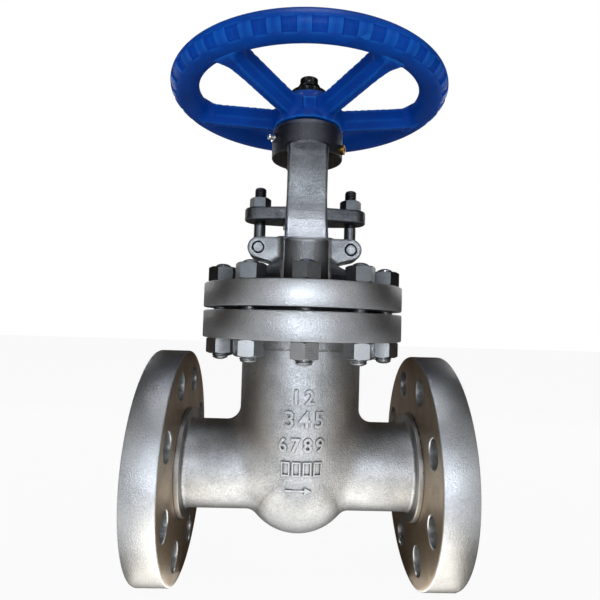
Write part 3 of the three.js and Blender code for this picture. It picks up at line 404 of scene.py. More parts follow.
def dented(tree, surface, height, strength, depth_mm):
    """Lets the height dent the surface by up to depth_mm."""
    dents = add(tree, "Bump", {"Height": height, "Strength": strength, "Distance": depth_mm / 1000})
    tree.links.new(dents.outputs[0], surface.inputs["Normal"])


def steel(name, dark, light, roughness, patch_mm, grain_mm, grain_depth, metallic=1.0, edge=0.0, corner_shade=0.0):
    """A metal whose colour drifts between dark and light in soft patches, with a grain of its own size in
    millimetres that dents the surface, worn edges that shine by the share edge, and painted shade, read from
    ambient occlusion, that darkens inner corners by the last share."""
    made, tree, surface = material(name)
    surface.inputs["Metallic"].default_value = metallic
    place = add(tree, "TexCoord").outputs["Object"]
    grain = noise(tree, place, grain_mm, 3.0, 0.65)
    mix = add(tree, "Math", {0: noise(tree, place, patch_mm, 4.0, 0.6), 1: grain}, operation="ADD").outputs[0]
    colour = blended(tree, ramp(tree, mix, TONE_STARTS, TONE_FULL), linear(dark), linear(light))
    if edge:
        convex = add(tree, "NewGeometry").outputs["Pointiness"]
        colour = blended(tree, ramp(tree, convex, EDGE_STARTS, EDGE_FULL, high=edge), colour, linear(light))
    # Painted shade: inner corners darkened by ambient occlusion.
    if corner_shade:
        sky = add(tree, "AmbientOcclusion", {"Distance": CORNER_SHADE_REACH}, samples=8).outputs["AO"]
        colour = blended(tree, ramp(tree, sky, SKY_STARTS, SKY_FULL, high=corner_shade), colour, linear(CORNER_SHADE_COLOUR))
    tree.links.new(colour, surface.inputs["Base Color"])
    sheen = ramp(tree, mix, SHEEN_STARTS, SHEEN_FULL, roughness + SHEEN_SPREAD, roughness - SHEEN_SPREAD)
    tree.links.new(sheen, surface.inputs["Roughness"])
    dented(tree, surface, grain, 1.0, grain_depth)
    return made


# Shot-blasted cast steel: an even grey metal, matt from a fine peened grain about 1.5 mm across.
blasted_casting = steel("blasted_cast_steel", "#9C9EA0", "#CBCDCF", 0.41, 26, 1.5, 0.55, edge=0.6, corner_shade=0.9)
# The collars' turned steps: duller than the blasted neck, and darker than it with painted shade.
collar_step_shaded = steel("collar_step_painted_shade", "#868584", "#A9A7A3", 0.40, 22, 1.3, 0.3, edge=0.3, corner_shade=0.8)
points, faces, normals = skin(body_casting, *BODY_BOX, BODY_STEP)
x, y, z = points[faces].mean(1).T
on_collar = (np.abs(x) > COLLAR_FINISH_FROM) & (np.hypot(y, z) > COLLAR_FINISH_OUT)
# The collar steps take the turned steel darkened with painted shade.
coats = [blasted_casting, collar_step_shaded]
belongs(piece("body_casting", points, faces, coats, on_collar.astype(int), normals=normals), "valve",
        "cast_steel", "valve_body")


# ---------------------------------------------------------------- pipe flanges
# A turned flange closes each end of the pipe run, in one piece with the casting. Its rim and back
# are turned and blasted, its eight bolt holes are drilled bright, and its raised face is grooved.
FLANGE_RADIUS = 110.0
FLANGE_BACK, FLANGE_FRONT, BACK_BAND = 113.0, 143.0, 0.1
RAISED_RADIUS, RAISED_FRONT = 61.0, 145.0
BOLT_CIRCLE, BOLT_HOLE, BOLTS = 85.0, 13.0, 8
FLANGE_EDGE, HOLE_EDGE, FACE_EDGE, BORE_EDGE = 1.6, 0.8, 0.5, 1.0
GROOVE_PITCH, GROOVE_DEPTH, GROOVES_FROM, GROOVES_TO = 1.6, 0.12, 2.0, 3.0
SECTOR_STEPS, RING_STEPS, RING_CROWDING, RIM_ROUND = 12, 6, 1.3, 0.3


def grid_faces(rows, columns, closed):
    """Corner numbers of the quads on a grid of rows by columns. closed joins the last column to the
    first."""
    across = columns if closed else columns - 1
    row, column = np.meshgrid(np.arange(rows - 1), np.arange(across), indexing="ij")
    after = (column + 1) % columns
    return np.stack([row * columns + column, row * columns + after, (row + 1) * columns + after,
                     (row + 1) * columns + column], -1).reshape(-1, 4)


def evenly(columns):
    """The angles of so many columns spaced evenly round."""
    return np.arange(columns) * 2 * math.pi / columns


def round_points(reach, angle, height):
    """Points at a reach from the Z axis, an angle round it and a height."""
    x, y, z = np.broadcast_arrays(reach * np.cos(angle), reach * np.sin(angle), height)
    return np.stack([x, y, z], -1).reshape(-1, 3)


def turned(profile, angles):
    """Points and faces of a profile of (radius, height) pairs carried round the Z axis through angles."""
    radius, height = np.array(profile, float).T[:, :, None]
    return round_points(radius, angles, height), grid_faces(len(radius), len(angles), True)


def looped(profile, columns):
    """A closed profile turned about Z."""
    return turned([*profile, profile[0]], evenly(columns))


def together(*parts):
    """Several (points, faces) as one, with its faces renumbered, and the part each face came from."""
    start = np.cumsum([0] + [len(p) for p, _ in parts])
    which = np.concatenate([np.full(len(f), i) for i, (_, f) in enumerate(parts)])
    faces = np.concatenate([f + s for (_, f), s in zip(parts, start)])
    return np.concatenate([p for p, _ in parts]), faces, which


def placed(points, turn, x, y, z):
    """Points turned about Z by an angle and carried to a place."""
    c, s = math.cos(turn), math.sin(turn)
    return points @ np.array([[c, s, 0], [-s, c, 0], [0, 0, 1]]) + (x, y, z)


def drilled_ring(outer, inner, low, high, circle, hole, holes, start, edge, middle):
    """A flat ring from low to high along Z with holes round it. Each hole sits in its own sector,
    whose border runs along the outer arc, a side, the inner arc and the other side. Straight lines
    run from the hole's edge to points spaced along that border, on the face above and below. The
    profile middle closes the ring inwards. Gives points, faces, and 1 for each face in a hole."""
    half = math.pi / holes
    across = np.linspace(-half, half, SECTOR_STEPS + 1)[:-1]
    ladder = np.linspace(inner, outer - edge, SECTOR_STEPS // 2 + 1)
    arc, side = np.ones(len(across)), np.ones(len(ladder) - 1)
    reach = np.concatenate([arc * (outer - edge), ladder[:0:-1], arc * inner, ladder[:-1]])
    turn = np.concatenate([across, side * half, -across, -side * half])
    border = np.stack([reach * np.cos(turn), reach * np.sin(turn)], 1)
    away = border - (circle, 0)
    away = away / np.linalg.norm(away, axis=1, keepdims=True)
    mouth, wall = (circle, 0) + (hole + HOLE_EDGE) * away, (circle, 0) + hole * away
    share = np.linspace(0, 1, RING_STEPS + 1)[:, None, None] ** RING_CROWDING
    flat = mouth + share * (border - mouth)
    rings = [(ring, high) for ring in flat[::-1]] + [(wall, high - HOLE_EDGE), (wall, low + HOLE_EDGE)]
    rings += [(ring, low) for ring in flat]
    stack = np.concatenate([np.column_stack([ring, np.full(len(ring), float(z))]) for ring, z in rings])
    faces = grid_faces(len(rings), len(border), True)[:, ::-1]
    row = np.arange(len(faces)) // len(border)
    is_wall = ((row >= RING_STEPS) & (row <= RING_STEPS + 2)).astype(int)
    around = start + evenly(holes * SECTOR_STEPS) - half
    rim = turned([(outer - edge, low), (outer - RIM_ROUND * edge, low + RIM_ROUND * edge), (outer, low + edge),
                  (outer, (low + high) / 2), (outer, high - edge),
                  (outer - RIM_ROUND * edge, high - RIM_ROUND * edge), (outer - edge, high)], around)
    sectors = [(placed(stack, turn, 0, 0, 0), faces) for turn in start + evenly(holes)]
    points, faces, _ = together(*sectors, rim, turned(middle, around))
    is_wall = np.tile(is_wall, holes)
    return points, faces, np.concatenate([is_wall, np.zeros(len(faces) - len(is_wall), int)])


def towards_x(points, way):
    """Points made round Z, laid along X to one side of the valve."""
    return np.stack([way * points[:, 2], points[:, 0], way * points[:, 1]], 1)


# Turned and blasted steel: paler and smoother than the casting.
turned_flange = steel("turned_flange_steel", "#A3A5A8", "#D0D2D4", 0.38, 40, 1.3, 0.42, edge=0.5, corner_shade=0.8)
# Fresh drilled steel: bright walls with a fine feed.
drilled_wall = steel("drilled_hole_wall", "#B9BBBC", "#DDDFE0", 0.32, 20, 0.9, 0.05)
# The flange's back: its blasted steel painted brown, a painted reflection of the brown surroundings it faces.
back_painted_reflection = steel("flange_back_painted_reflection", "#94836E", "#C0AF98", 0.42, 30, 1.3, 0.35, edge=0.3, corner_shade=0.8)
grooves = int((RAISED_RADIUS - BORE_RADIUS - GROOVES_FROM - GROOVES_TO) / GROOVE_PITCH)
face = [(RAISED_RADIUS, FLANGE_FRONT), (RAISED_RADIUS, RAISED_FRONT - FACE_EDGE),
        (RAISED_RADIUS - FACE_EDGE, RAISED_FRONT)]
for step in range(grooves):
    rim = RAISED_RADIUS - GROOVES_FROM - step * GROOVE_PITCH
    face += [(rim, RAISED_FRONT), (rim - GROOVE_PITCH / 2, RAISED_FRONT - GROOVE_DEPTH)]
face += [(BORE_RADIUS + BORE_EDGE, RAISED_FRONT), (BORE_RADIUS, RAISED_FRONT - BORE_EDGE),
         (BORE_RADIUS, FLANGE_BACK), (RAISED_RADIUS, FLANGE_BACK)]
for way, word in ((-1, "inlet"), (1, "outlet")):
    points, faces, which = drilled_ring(FLANGE_RADIUS, RAISED_RADIUS, FLANGE_BACK, FLANGE_FRONT, BOLT_CIRCLE,
                                        BOLT_HOLE, BOLTS, math.pi / BOLTS, FLANGE_EDGE, face)
    # The back face takes the brown painted reflection.
    which[(which == 0) & (points[faces, 2].max(1) < FLANGE_BACK + BACK_BAND)] = 2
    coats = [turned_flange, drilled_wall, back_painted_reflection]
    belongs(piece(f"{word}_flange", towards_x(points, way), faces, coats, which), "valve", "cast_steel",
            "valve_body")


# ---------------------------------------------------------------- cast marks
# Plain raised marks on the front of the barrel, cast with it: three rows of counting numbers, four
# blank date slugs and an arrow that points the way of the flow.
MARK_ROWS = (("1 2", 1.0, 68.6, 13.2), ("3 4 5", 3.0, 48.2, 14.6), ("6 7 8 9", 0.8, 26.4, 12.4))
MARK_SINK, MARK_PROUD, MARK_BEVEL = 0.5, 1.1, 0.35
DIGIT_SHARE, DIGIT_SWELL, DIGIT_SPACE, MARK_CREASE = 0.72, 0.12, 0.6, 40
SLUGS, SLUG_CENTRE, SLUG_ROW, SLUG_PITCH = 4, 1.6, 10.8, 10.0
SLUG_WIDE, SLUG_TALL, SLUG_BAR, BAR_LAP = 8.2, 13.0, 1.5, 0.3
ARROW_ROW, ARROW_FROM, ARROW_TO = -8.4, -13.4, 11.6
ARROW_HEAD, ARROW_BARB, ARROW_BAR, ARROW_LAP = 7.0, 3.4, 1.7, 0.5


def numbers(text, middle, foot, height):
    """Raised numbers in a flat plane: x across, y up and z out, as points and faces whose fourth corner
    repeats the third."""
    line = bpy.data.curves.new("marks", "FONT")
    line.body, line.size, line.align_x = text, height / DIGIT_SHARE, "CENTER"
    line.extrude, line.bevel_depth, line.bevel_resolution, line.offset = MARK_PROUD, MARK_BEVEL, 2, DIGIT_SWELL
    line.resolution_u, line.space_word = 8, DIGIT_SPACE
    held = shown("marks", line)
    flat = bpy.data.meshes.new_from_object(held.evaluated_get(bpy.context.evaluated_depsgraph_get()))
    bpy.data.objects.remove(held)
    flat.calc_loop_triangles()
    points, corners = np.zeros(len(flat.vertices) * 3), np.zeros(len(flat.loop_triangles) * 3, np.int32)
    flat.vertices.foreach_get("co", points)
    flat.loop_triangles.foreach_get("vertices", corners)
    corners = corners.reshape(-1, 3)
    return points.reshape(-1, 3) + (middle, foot, 0), np.concatenate([corners, corners[:, 2:]], 1)


def raised_bar(corners):
    """A flat bar from its outline in x and y: a wall, a bevel and a top that closes at its middle."""
    corners = np.array(corners, float)
    middle = np.repeat(corners.mean(0)[None], len(corners), 0)
    away = corners - middle
    inset = corners - away / np.linalg.norm(away, axis=1, keepdims=True) * MARK_BEVEL
    top = MARK_PROUD + MARK_BEVEL
    rows = [(middle, -MARK_SINK), (corners, -MARK_SINK), (corners, MARK_PROUD), (inset, top), (middle, top)]
    points = np.concatenate([np.column_stack([flat, np.full(len(flat), z)]) for flat, z in rows])
    return points, grid_faces(len(rows), len(corners), True)


def bar(x0, x1, y0, y1):
    """A raised bar with square corners."""
    return raised_bar([(x0, y0), (x1, y0), (x1, y1), (x0, y1)])


strokes = [numbers(*row) for row in MARK_ROWS]
for k in range(SLUGS):
    x = SLUG_CENTRE + (k - (SLUGS - 1) / 2) * SLUG_PITCH
    a, b, low, high = x - SLUG_WIDE / 2, x + SLUG_WIDE / 2, SLUG_ROW - SLUG_TALL / 2, SLUG_ROW + SLUG_TALL / 2
    inside = low + SLUG_BAR - BAR_LAP, high - SLUG_BAR + BAR_LAP
    strokes += [bar(a, b, low, low + SLUG_BAR), bar(a, b, high - SLUG_BAR, high), bar(a, a + SLUG_BAR, *inside),
                bar(b - SLUG_BAR, b, *inside)]
neck = ARROW_TO - ARROW_HEAD
strokes += [bar(ARROW_FROM, neck + ARROW_LAP, ARROW_ROW - ARROW_BAR / 2, ARROW_ROW + ARROW_BAR / 2),
            raised_bar([(neck, ARROW_ROW - ARROW_BARB), (ARROW_TO, ARROW_ROW), (neck, ARROW_ROW + ARROW_BARB)])]
points, faces, _ = together(*strokes)
across, height, proud = points.T
# Each point goes to its angle round the barrel, at the wall's radius for its height.
wall = barrel_wall(height) + proud
wall = np.where(height < DOME_CENTRE, wall - (height - DOME_CENTRE) ** 2 / (2 * DOME_RADIUS), wall)
points = round_points(wall, across / BARREL_RADIUS - math.pi / 2, height)
belongs(piece("cast_marks", points, faces, [blasted_casting], crease=MARK_CREASE), "valve", "cast_steel",
        "valve_body")


# ---------------------------------------------------------------- body joint flange
# The round flange on top of the barrel, cast with it and turned all over, with ten stud holes.
JOINT_RADIUS, JOINT_LOW, JOINT_HIGH, JOINT_EDGE = 99.3, 125.5, 151.5, 1.3
STUD_CIRCLE, STUD_HOLE, STUDS = 82.8, 9.0, 10
SPLIT_RADIUS = 66.0


def joint_ring(name, low, high, middle, slot, node):
    """One of the two flanges of the bonnet joint, closed inwards by the profile middle."""
    points, faces, which = drilled_ring(JOINT_RADIUS, SPLIT_RADIUS, low, high, STUD_CIRCLE, STUD_HOLE, STUDS,
                                        -math.pi / 2, JOINT_EDGE, middle)
    belongs(piece(name, points, faces, [turned_flange, drilled_wall], which), "valve", slot, node)


joint_ring("body_joint_flange", JOINT_LOW, JOINT_HIGH, [
    (SPLIT_RADIUS, JOINT_HIGH), (CHAMBER_RADIUS, JOINT_HIGH), (CHAMBER_RADIUS, JOINT_LOW),
    (SPLIT_RADIUS, JOINT_LOW)], "cast_steel", "valve_body")


# ---------------------------------------------------------------- bonnet gasket
# A spiral-wound ring of steel strip and graphite, pinched dark between the two flanges.
GASKET_INNER, GASKET_OUTER, GASKET_LOW, GASKET_HIGH, GASKET_EDGE = 50.6, 68.4, 151.5, 154.5, 0.3
COLUMNS = 96


def turned_piece(name, profile, coat, body, slot, node):
    """A closed profile of (radius, height) pairs turned about Z, as one piece in place of a CAD node."""
    belongs(piece(name, *looped(profile, COLUMNS), [coat]), body, slot, node)


def ring_profile(inner, outer, low, high, edge):
    """The section of a ring whose four corners are broken by edge."""
    return [(inner, low + edge), (inner + edge, low), (outer - edge, low), (outer, low + edge),
            (outer, high - edge), (outer - edge, high), (inner + edge, high), (inner, high - edge)]


# Graphite: near black with a faint grey sheen.
graphite = steel("graphite_packing", "#1C1D1F", "#3A3B3D", 0.62, 6, 0.8, 0.15, metallic=0.2)
turned_piece("spiral_gasket", ring_profile(GASKET_INNER, GASKET_OUTER, GASKET_LOW, GASKET_HIGH, GASKET_EDGE),
             graphite, "valve", "graphite", "bonnet_gasket")


# ---------------------------------------------------------------- bonnet and yoke casting
# The bonnet is a second casting: a bolted flange, a domed foot, the packing box with an ear at each
# side for the eye bolts, and two arms that rise to the boss for the wheel's bearing. A round spot-face
# at the foot of each arm leaves room to turn the nut before it.
BONNET_LOW, BONNET_HIGH, CASTING_FOOT, FLANGE_LAP, SKIN_LAP = 154.5, 178.0, 170.0, 0.3, 1.2
RECESS_RADIUS, RECESS_TOP = 35.0, 168.0
BUSH_BORE, STEM_BORE, STEM_BORE_TOP = 17.8, 12.5, 260.0
PACKING_BORE, PACKING_MIDDLE, PACKING_HALF = 20.0, 225.0, 35.0
BOX_RADIUS, BOX_TOP = 28.5, 227.0
BOX_SECTION = ((0, CASTING_FOOT), (62, CASTING_FOOT), (62, 180), (57, 187), (47, 194), (36, 199.5),
               (BOX_RADIUS, 206), (BOX_RADIUS, BOX_TOP), (0, BOX_TOP))
ARM_INNER, ARM_OUTER, ARM_HALF, FOOT_HALF, ARM_EDGE = 27.0, 40.0, 19.5, 20.6, 3.2
SLOPE_TOP, SLOPE_FOOT, SLOPE_RISE, LEDGE_END = 262.0, (58.0, 219.3), 45.0, (72.0, 216.8)
SLOPE_MIDDLE = ((50.0, 229.8), (45.0, 238.8), (42.0, 247.0), (40.6, 254.5))
SHOULDER = ((40.0, 301.0), (36.0, 315.0))
SPOT_RADIUS, SPOT_EDGE = 24.8, 1.6
BOSS_RADIUS, BOSS_LOW, BOSS_HIGH, BOSS_EDGE = 36.5, 309.5, 337.0, 1.5
SLEEVE_BORE, SLEEVE_BORE_FOOT, RACE_BORE, RACE_FLOOR = 17.15, 290.0, 28.3, 314.0
EAR_X, EAR_Z, EAR_RADIUS, EAR_HALF, EAR_EDGE = 46.5, 216.0, 11.0, 14.0, 1.8
EAR_HEEL, EAR_INSET, EAR_TURNS = 198.5, 6.5, np.radians(range(-75, 91, 15))
EAR_SLOT, EAR_SLOT_FROM, SLOT_EDGE, PIN_HOLE = 6.5, 34.0, 0.6, 5.6
SLAB_FILLET, EAR_FILLET, ARM_FILLET, BOSS_FILLET = 4.0, 3.5, 5.0, 4.0
BONNET_BOX, BONNET_STEP = ((-67.7, -74.3, 175.6), (67.7, 74.3, 339)), 1.5
# Bands of painted light and shade up the casting, in metres: where one starts, where it is full, its share,
# whether it lies on the arms alone, and its colour. In turn: painted highlight on the slope at the arms' foot,
# painted shade in the pocket under it, painted shade over the upper arms and boss, and brown painted shade over
# the foot.
PAINTED_BANDS = ((0.256, 0.236, 0.85, True, "#DADDE0"), (0.220, 0.215, 0.75, True, "#2E2E30"),
          (0.262, 0.311, 0.86, False, "#4A4B4E"), (0.202, 0.180, 0.7, False, "#453A2F"))
ARM_STARTS, ARM_STANDS, SLOPE_ROUGHNESS = 0.028, 0.038, 0.27


def outline(u, v, corners):
    """Distance to a closed outline in a plane, below zero inside. It is the least distance to any of its
    sides; a side that the line through a point crosses an odd number of times makes it negative."""
    near, odd = np.full(np.broadcast(u, v).shape, 1e9), np.zeros(np.broadcast(u, v).shape, bool)
    for (a, b), (c, d) in zip(corners, [*corners[1:], corners[0]]):
        along = np.clip(((u - a) * (c - a) + (v - b) * (d - b)) / ((c - a) ** 2 + (d - b) ** 2), 0, 1)
        near = np.minimum(near, np.hypot(u - a - along * (c - a), v - b - along * (d - b)))
        if d != b:
            odd ^= ((b > v) != (d > v)) & (u < (c - a) * (v - b) / (d - b) + a)
    return np.where(odd, -near, near)


def bonnet_casting(x, y, z):
    """Dome and box turned about Z, arms from their outline in Y and Z, ears from theirs in X and Z, and
    the boss."""
    r, across, depth = np.hypot(x, y), np.abs(x), np.abs(y)
    box = outline(r, z, BOX_SECTION)
    slab = np.maximum(z - BONNET_HIGH + FLANGE_LAP, r - SPLIT_RADIUS)
    half = ARM_HALF + (FOOT_HALF - ARM_HALF) * np.clip((SLOPE_TOP - z) / SLOPE_RISE, 0, 1)
    arm = outline(depth, z, [(ARM_INNER, CASTING_FOOT), (LEDGE_END[0], CASTING_FOOT), LEDGE_END, SLOPE_FOOT,
                             *SLOPE_MIDDLE, (ARM_OUTER, SLOPE_TOP), *SHOULDER, (ARM_INNER, SHOULDER[1][1])])
    arm = shared(arm, across - half, ARM_EDGE)
    arm = shared(arm, SPOT_RADIUS - np.hypot(x, depth - STUD_CIRCLE), SPOT_EDGE)
    rim = [(EAR_X + EAR_RADIUS * math.cos(t), EAR_Z + EAR_RADIUS * math.sin(t)) for t in EAR_TURNS]
    ear = outline(across, z, [(0, EAR_HEEL), (BOX_RADIUS - EAR_INSET, EAR_HEEL), *rim, (0, BOX_TOP)])
    ear = shared(ear, depth - EAR_HALF, EAR_EDGE)
    ear = shared(ear, -np.maximum(depth - EAR_SLOT, EAR_SLOT_FROM - across), SLOT_EDGE)
    boss = np.abs(z - (BOSS_LOW + BOSS_HIGH) / 2) - (BOSS_HIGH - BOSS_LOW) / 2
    boss = shared(r - BOSS_RADIUS, boss, BOSS_EDGE)
    solid = joined(joined(joined(box, slab, SLAB_FILLET), ear, EAR_FILLET), arm, ARM_FILLET)
    solid = joined(solid, boss, BOSS_FILLET)
    bores = [np.maximum(r - STEM_BORE, z - STEM_BORE_TOP),
             np.maximum(r - PACKING_BORE, np.abs(z - PACKING_MIDDLE) - PACKING_HALF),
             np.hypot(across - EAR_X, z - EAR_Z) - PIN_HOLE,
             np.maximum(r - SLEEVE_BORE, SLEEVE_BORE_FOOT - z), np.maximum(r - RACE_BORE, RACE_FLOOR - z)]
    for bore in bores:
        solid = np.maximum(solid, -bore)
    return np.maximum(solid, BONNET_HIGH - SKIN_LAP - z)


# Blasted bonnet casting: the same steel, a little darker and rougher than the body, with painted shade darkening
# it towards the boss and, brown, towards its foot. The slope at each arm's foot is smoother and carries a
# painted highlight, and painted shade darkens the pocket under it.
bonnet_steel = steel("blasted_bonnet_steel", "#7A7D7F", "#B6B9BC", 0.39, 18, 1.4, 0.5, edge=0.8, corner_shade=0.8)
tree = bonnet_steel.node_tree
surface = tree.nodes["Principled BSDF"]
colour, rough = [surface.inputs[name].links[0].from_socket for name in ("Base Color", "Roughness")]
spot = add(tree, "SeparateXYZ", {0: add(tree, "TexCoord").outputs["Object"]}).outputs
depth = add(tree, "Math", {0: spot["Y"]}, operation="ABSOLUTE").outputs[0]
on_arm = ramp(tree, depth, ARM_STARTS, ARM_STANDS)
shares = []
# Each band paints light or shade in by height: the first a highlight, the other three shade.
for start, end, cover, arms_only, band_colour in PAINTED_BANDS:
    share = ramp(tree, spot["Z"], start, end, high=cover)
    if arms_only:
        share = add(tree, "Math", {0: share, 1: on_arm}, operation="MULTIPLY").outputs[0]
    shares.append(share)
    colour = blended(tree, share, colour, linear(band_colour))
tree.links.new(colour, surface.inputs["Base Color"])
smooth = add(tree, "Mix", {0: shares[0], 2: rough, 3: SLOPE_ROUGHNESS}, data_type="FLOAT").outputs[0]
tree.links.new(smooth, surface.inputs["Roughness"])
points, faces, normals = skin(bonnet_casting, *BONNET_BOX, BONNET_STEP)
belongs(piece("bonnet_and_yoke", points, faces, [bonnet_steel], normals=normals), "valve", "cast_bonnet",
        "bonnet_yoke")
joint_ring("bonnet_flange", BONNET_LOW, BONNET_HIGH, [
    (SPLIT_RADIUS, BONNET_HIGH), (BUSH_BORE, BONNET_HIGH), (BUSH_BORE, RECESS_TOP), (RECESS_RADIUS, RECESS_TOP),
    (RECESS_RADIUS, BONNET_LOW), (SPLIT_RADIUS, BONNET_LOW)], "cast_bonnet", "bonnet_yoke")


# ---------------------------------------------------------------- bonnet studs and nuts
# Ten steel studs, screwed all along, with a heavy hexagon nut at each end to pull the flanges together.
STUD_RADIUS, STUD_ROOT, STUD_PITCH, STUD_SPIN = 8.0, 6.9, 2.0, 1.7
STUD_LOW, STUD_TOP, STUD_DOME, STUD_COLUMNS = 104.5, 196.5, 1.6, 20
NARROW_CREST, TIP_CUT, DOME_SHARE, DOME_RISE, SHANK_EDGE, RUN_OUT = 0.1, 0.3, 0.55, 0.25, 0.6, 1.5
NUT_FLATS, NUT_HEIGHT, NUT_GAP = 24.0, 15.0, 0.1
NUT_FACE, NUT_CONE, NUT_MOUTH, NUT_COLUMNS, NUT_CREASE = 0.96, 0.577, 0.8, 48, 25


def screwed(radius, root, pitch, crest, low, high, dome, columns, plain=None, end=0.0):
    """A rod with a helical thread, from low to high along Z. Its rows climb one pitch in a turn: each turn
    has two rows at the crest and two at the root. Near an end the radius is held under a cone, below the
    height plain it stays that of the crest, and over the last length end it is turned down to the root.
    Both ends close in a low dome."""
    turn = np.linspace(0, 1, columns + 1)
    first, last = low + dome, high - dome
    start = first if plain is None else plain
    turns = int((last - start) / pitch) + 2
    phase = (np.arange(turns)[:, None] + np.array([0, crest, 0.5, 0.5 + crest])).ravel()
    height = np.clip(start + pitch * (phase[:, None] + turn - 1), start, last)
    reach = np.tile([radius, radius, root, root], turns)[:, None] * np.ones_like(height)
    tip = root - TIP_CUT
    reach = np.minimum(reach, tip + np.maximum(last - height - end, 0))
    if plain is None:
        reach = np.minimum(reach, tip + (height - first))
    else:
        reach = np.maximum(reach, radius - (height - start) * RUN_OUT)
    foot = tip if plain is None else radius - SHANK_EDGE
    ends = [(0, low), (foot * DOME_SHARE, low + DOME_RISE * dome), (foot, first)]
    if plain is not None:
        ends += [(radius, first + SHANK_EDGE), (radius, start)]
    tops = [(tip, last), (tip * DOME_SHARE, high - DOME_RISE * dome), (0, high)]
    flat = np.ones(columns + 1)
    reach = np.concatenate([[r * flat for r, _ in ends], reach, [r * flat for r, _ in tops]])
    height = np.concatenate([[z * flat for _, z in ends], height, [z * flat for _, z in tops]])
    return round_points(reach, turn * 2 * math.pi, height), grid_faces(len(reach), columns + 1, False)


def hexagon_nut(flats, bore, height):
    """A nut about Z. Round the hexagon the distance to its side is half the flats over the cosine of
    the angle from the middle of that side. A cone cuts its corners at both faces."""
    angle = evenly(NUT_COLUMNS)
    side = flats / 2 / np.cos(angle % (math.pi / 3) - math.pi / 6)
    face = flats / 2 * NUT_FACE
    cone = (side - face) * NUT_CONE
    flat = np.ones(NUT_COLUMNS)
    mouth = bore + NUT_MOUTH
    rows = [(flat * bore, flat * NUT_MOUTH), (flat * mouth, flat * 0), (flat * face, flat * 0), (side, cone),
            (side, height - cone), (flat * face, flat * height), (flat * mouth, flat * height),
            (flat * bore, flat * (height - NUT_MOUTH))]
    reach, height = np.array([*rows, rows[0]]).transpose(1, 0, 2)
    return round_points(reach, angle, height), grid_faces(len(reach), NUT_COLUMNS, True)


# Bolting steel, oiled: mid grey with a soft shine, on the bottom nuts, its corners rubbed bright. The top nuts,
# swing bolts and gland nuts take a copy of it darkened with painted shade. The studs' rolled threads stay paler.
bolting = steel("oiled_bolting_steel", "#8A8D8F", "#C2C5C7", 0.32, 9, 1.1, 0.03, edge=0.7)
bolting_painted_shade = steel("bolting_steel_painted_shade", "#46494C", "#7B7F82", 0.36, 7, 1.0, 0.05, edge=0.6, corner_shade=0.7)
stud_steel = steel("rolled_stud_thread", "#7E8184", "#B4B7BA", 0.33, 6, 1.0, 0.04, edge=0.6)
for i in range(STUDS):
    turn = -math.pi / 2 + i * 2 * math.pi / STUDS
    x, y = STUD_CIRCLE * math.cos(turn), STUD_CIRCLE * math.sin(turn)
    number = f"{i + 1:02d}"
    points, faces = screwed(STUD_RADIUS, STUD_ROOT, STUD_PITCH, NARROW_CREST, STUD_LOW, STUD_TOP, STUD_DOME,
                            STUD_COLUMNS)
    belongs(piece(f"stud_{number}", placed(points, i * STUD_SPIN, x, y, 0), faces, [stud_steel]), "valve",
            "bolting_steel", f"bonnet_stud_{number}")
    points, faces = hexagon_nut(NUT_FLATS, STUD_RADIUS + NUT_GAP, NUT_HEIGHT)
    # The top nuts take the copy darkened with painted shade.
    for place, foot, coat in (("top", BONNET_HIGH, bolting_painted_shade), ("bottom", JOINT_LOW - NUT_HEIGHT, bolting)):
        belongs(piece(f"{place}_nut_{number}", placed(points, turn, x, y, foot), faces, [coat],
                      crease=NUT_CREASE), "valve", "bolting_steel", f"bonnet_nut_{place}_{number}")


# ---------------------------------------------------------------- seats and wedge gate
# Two seat rings pressed into the body and the solid wedge between them, all faced with a hard alloy
# and ground. They show through the bore.
def coated(coat, *nodes):
    """Gives CAD nodes that stay as they are a finish."""
    for node in nodes:
        for slot_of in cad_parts[node].material_slots:
            slot_of.material = coat


# Ground hard facing: a close, bright surface, faintly warm.
ground_facing = steel("ground_hard_facing", "#A8A9A5", "#CFD0CB", 0.28, 14, 0.8, 0.03)
coated(ground_facing, "seat_ring_inlet", "seat_ring_outlet", "wedge", "backseat_bush")


# ---------------------------------------------------------------- stem
# One turned steel bar: a T foot that holds the gate, a backseat collar, a ground length that slides
# through the packing and a trapezoidal thread up to its domed, darkened tip.
STEM_RADIUS, THREAD_ROOT, THREAD_PITCH, THREAD_CREST = 12.0, 9.6, 5.0, 0.36
STEM_FOOT, THREAD_START, STEM_TOP, STEM_TIP, STEM_END = 42.4, 247.0, 397.0, 1.6, 5.0
FOOT_TOP, FOOT_HALF_SIDE, FOOT_NECK, FOOT_EDGE = 50.6, 11.0, 7.0, 0.8
SHAFT_START, SHAFT_EDGE, SHAFT_HOLLOW = 62.0, 0.5, 3.0
COLLAR_BOTTOM, COLLAR_TOP, STEM_COLLAR, RIM_EDGE, COLLAR_HOLLOW = 84.2, 94.2, 16.5, 0.8, 4.0
ROD_COLUMNS, SHAFT_COLUMNS, ROD_LAP, NECK_SINK, NECK_RISE = 40, 64, 3.0, 1.0, 4.0


def block(half, low, high, edge):
    """A square block about Z with its upright edges and rims broken by edge: rings of eight corners."""
    rows = []
    for z, inset in ((low, edge), (low + edge, 0), (high - edge, 0), (high, edge)):
        a = half - inset
        b = a - edge
        ring = (a, -b), (a, b), (b, a), (-b, a), (-a, b), (-a, -b), (-b, -a), (b, -a)
        rows.append([(*corner, z) for corner in ring])
    rows = [[(0, 0, low)] * 8, *rows, [(0, 0, high)] * 8]
    return np.array(rows, float).reshape(-1, 3), grid_faces(len(rows), 8, True)


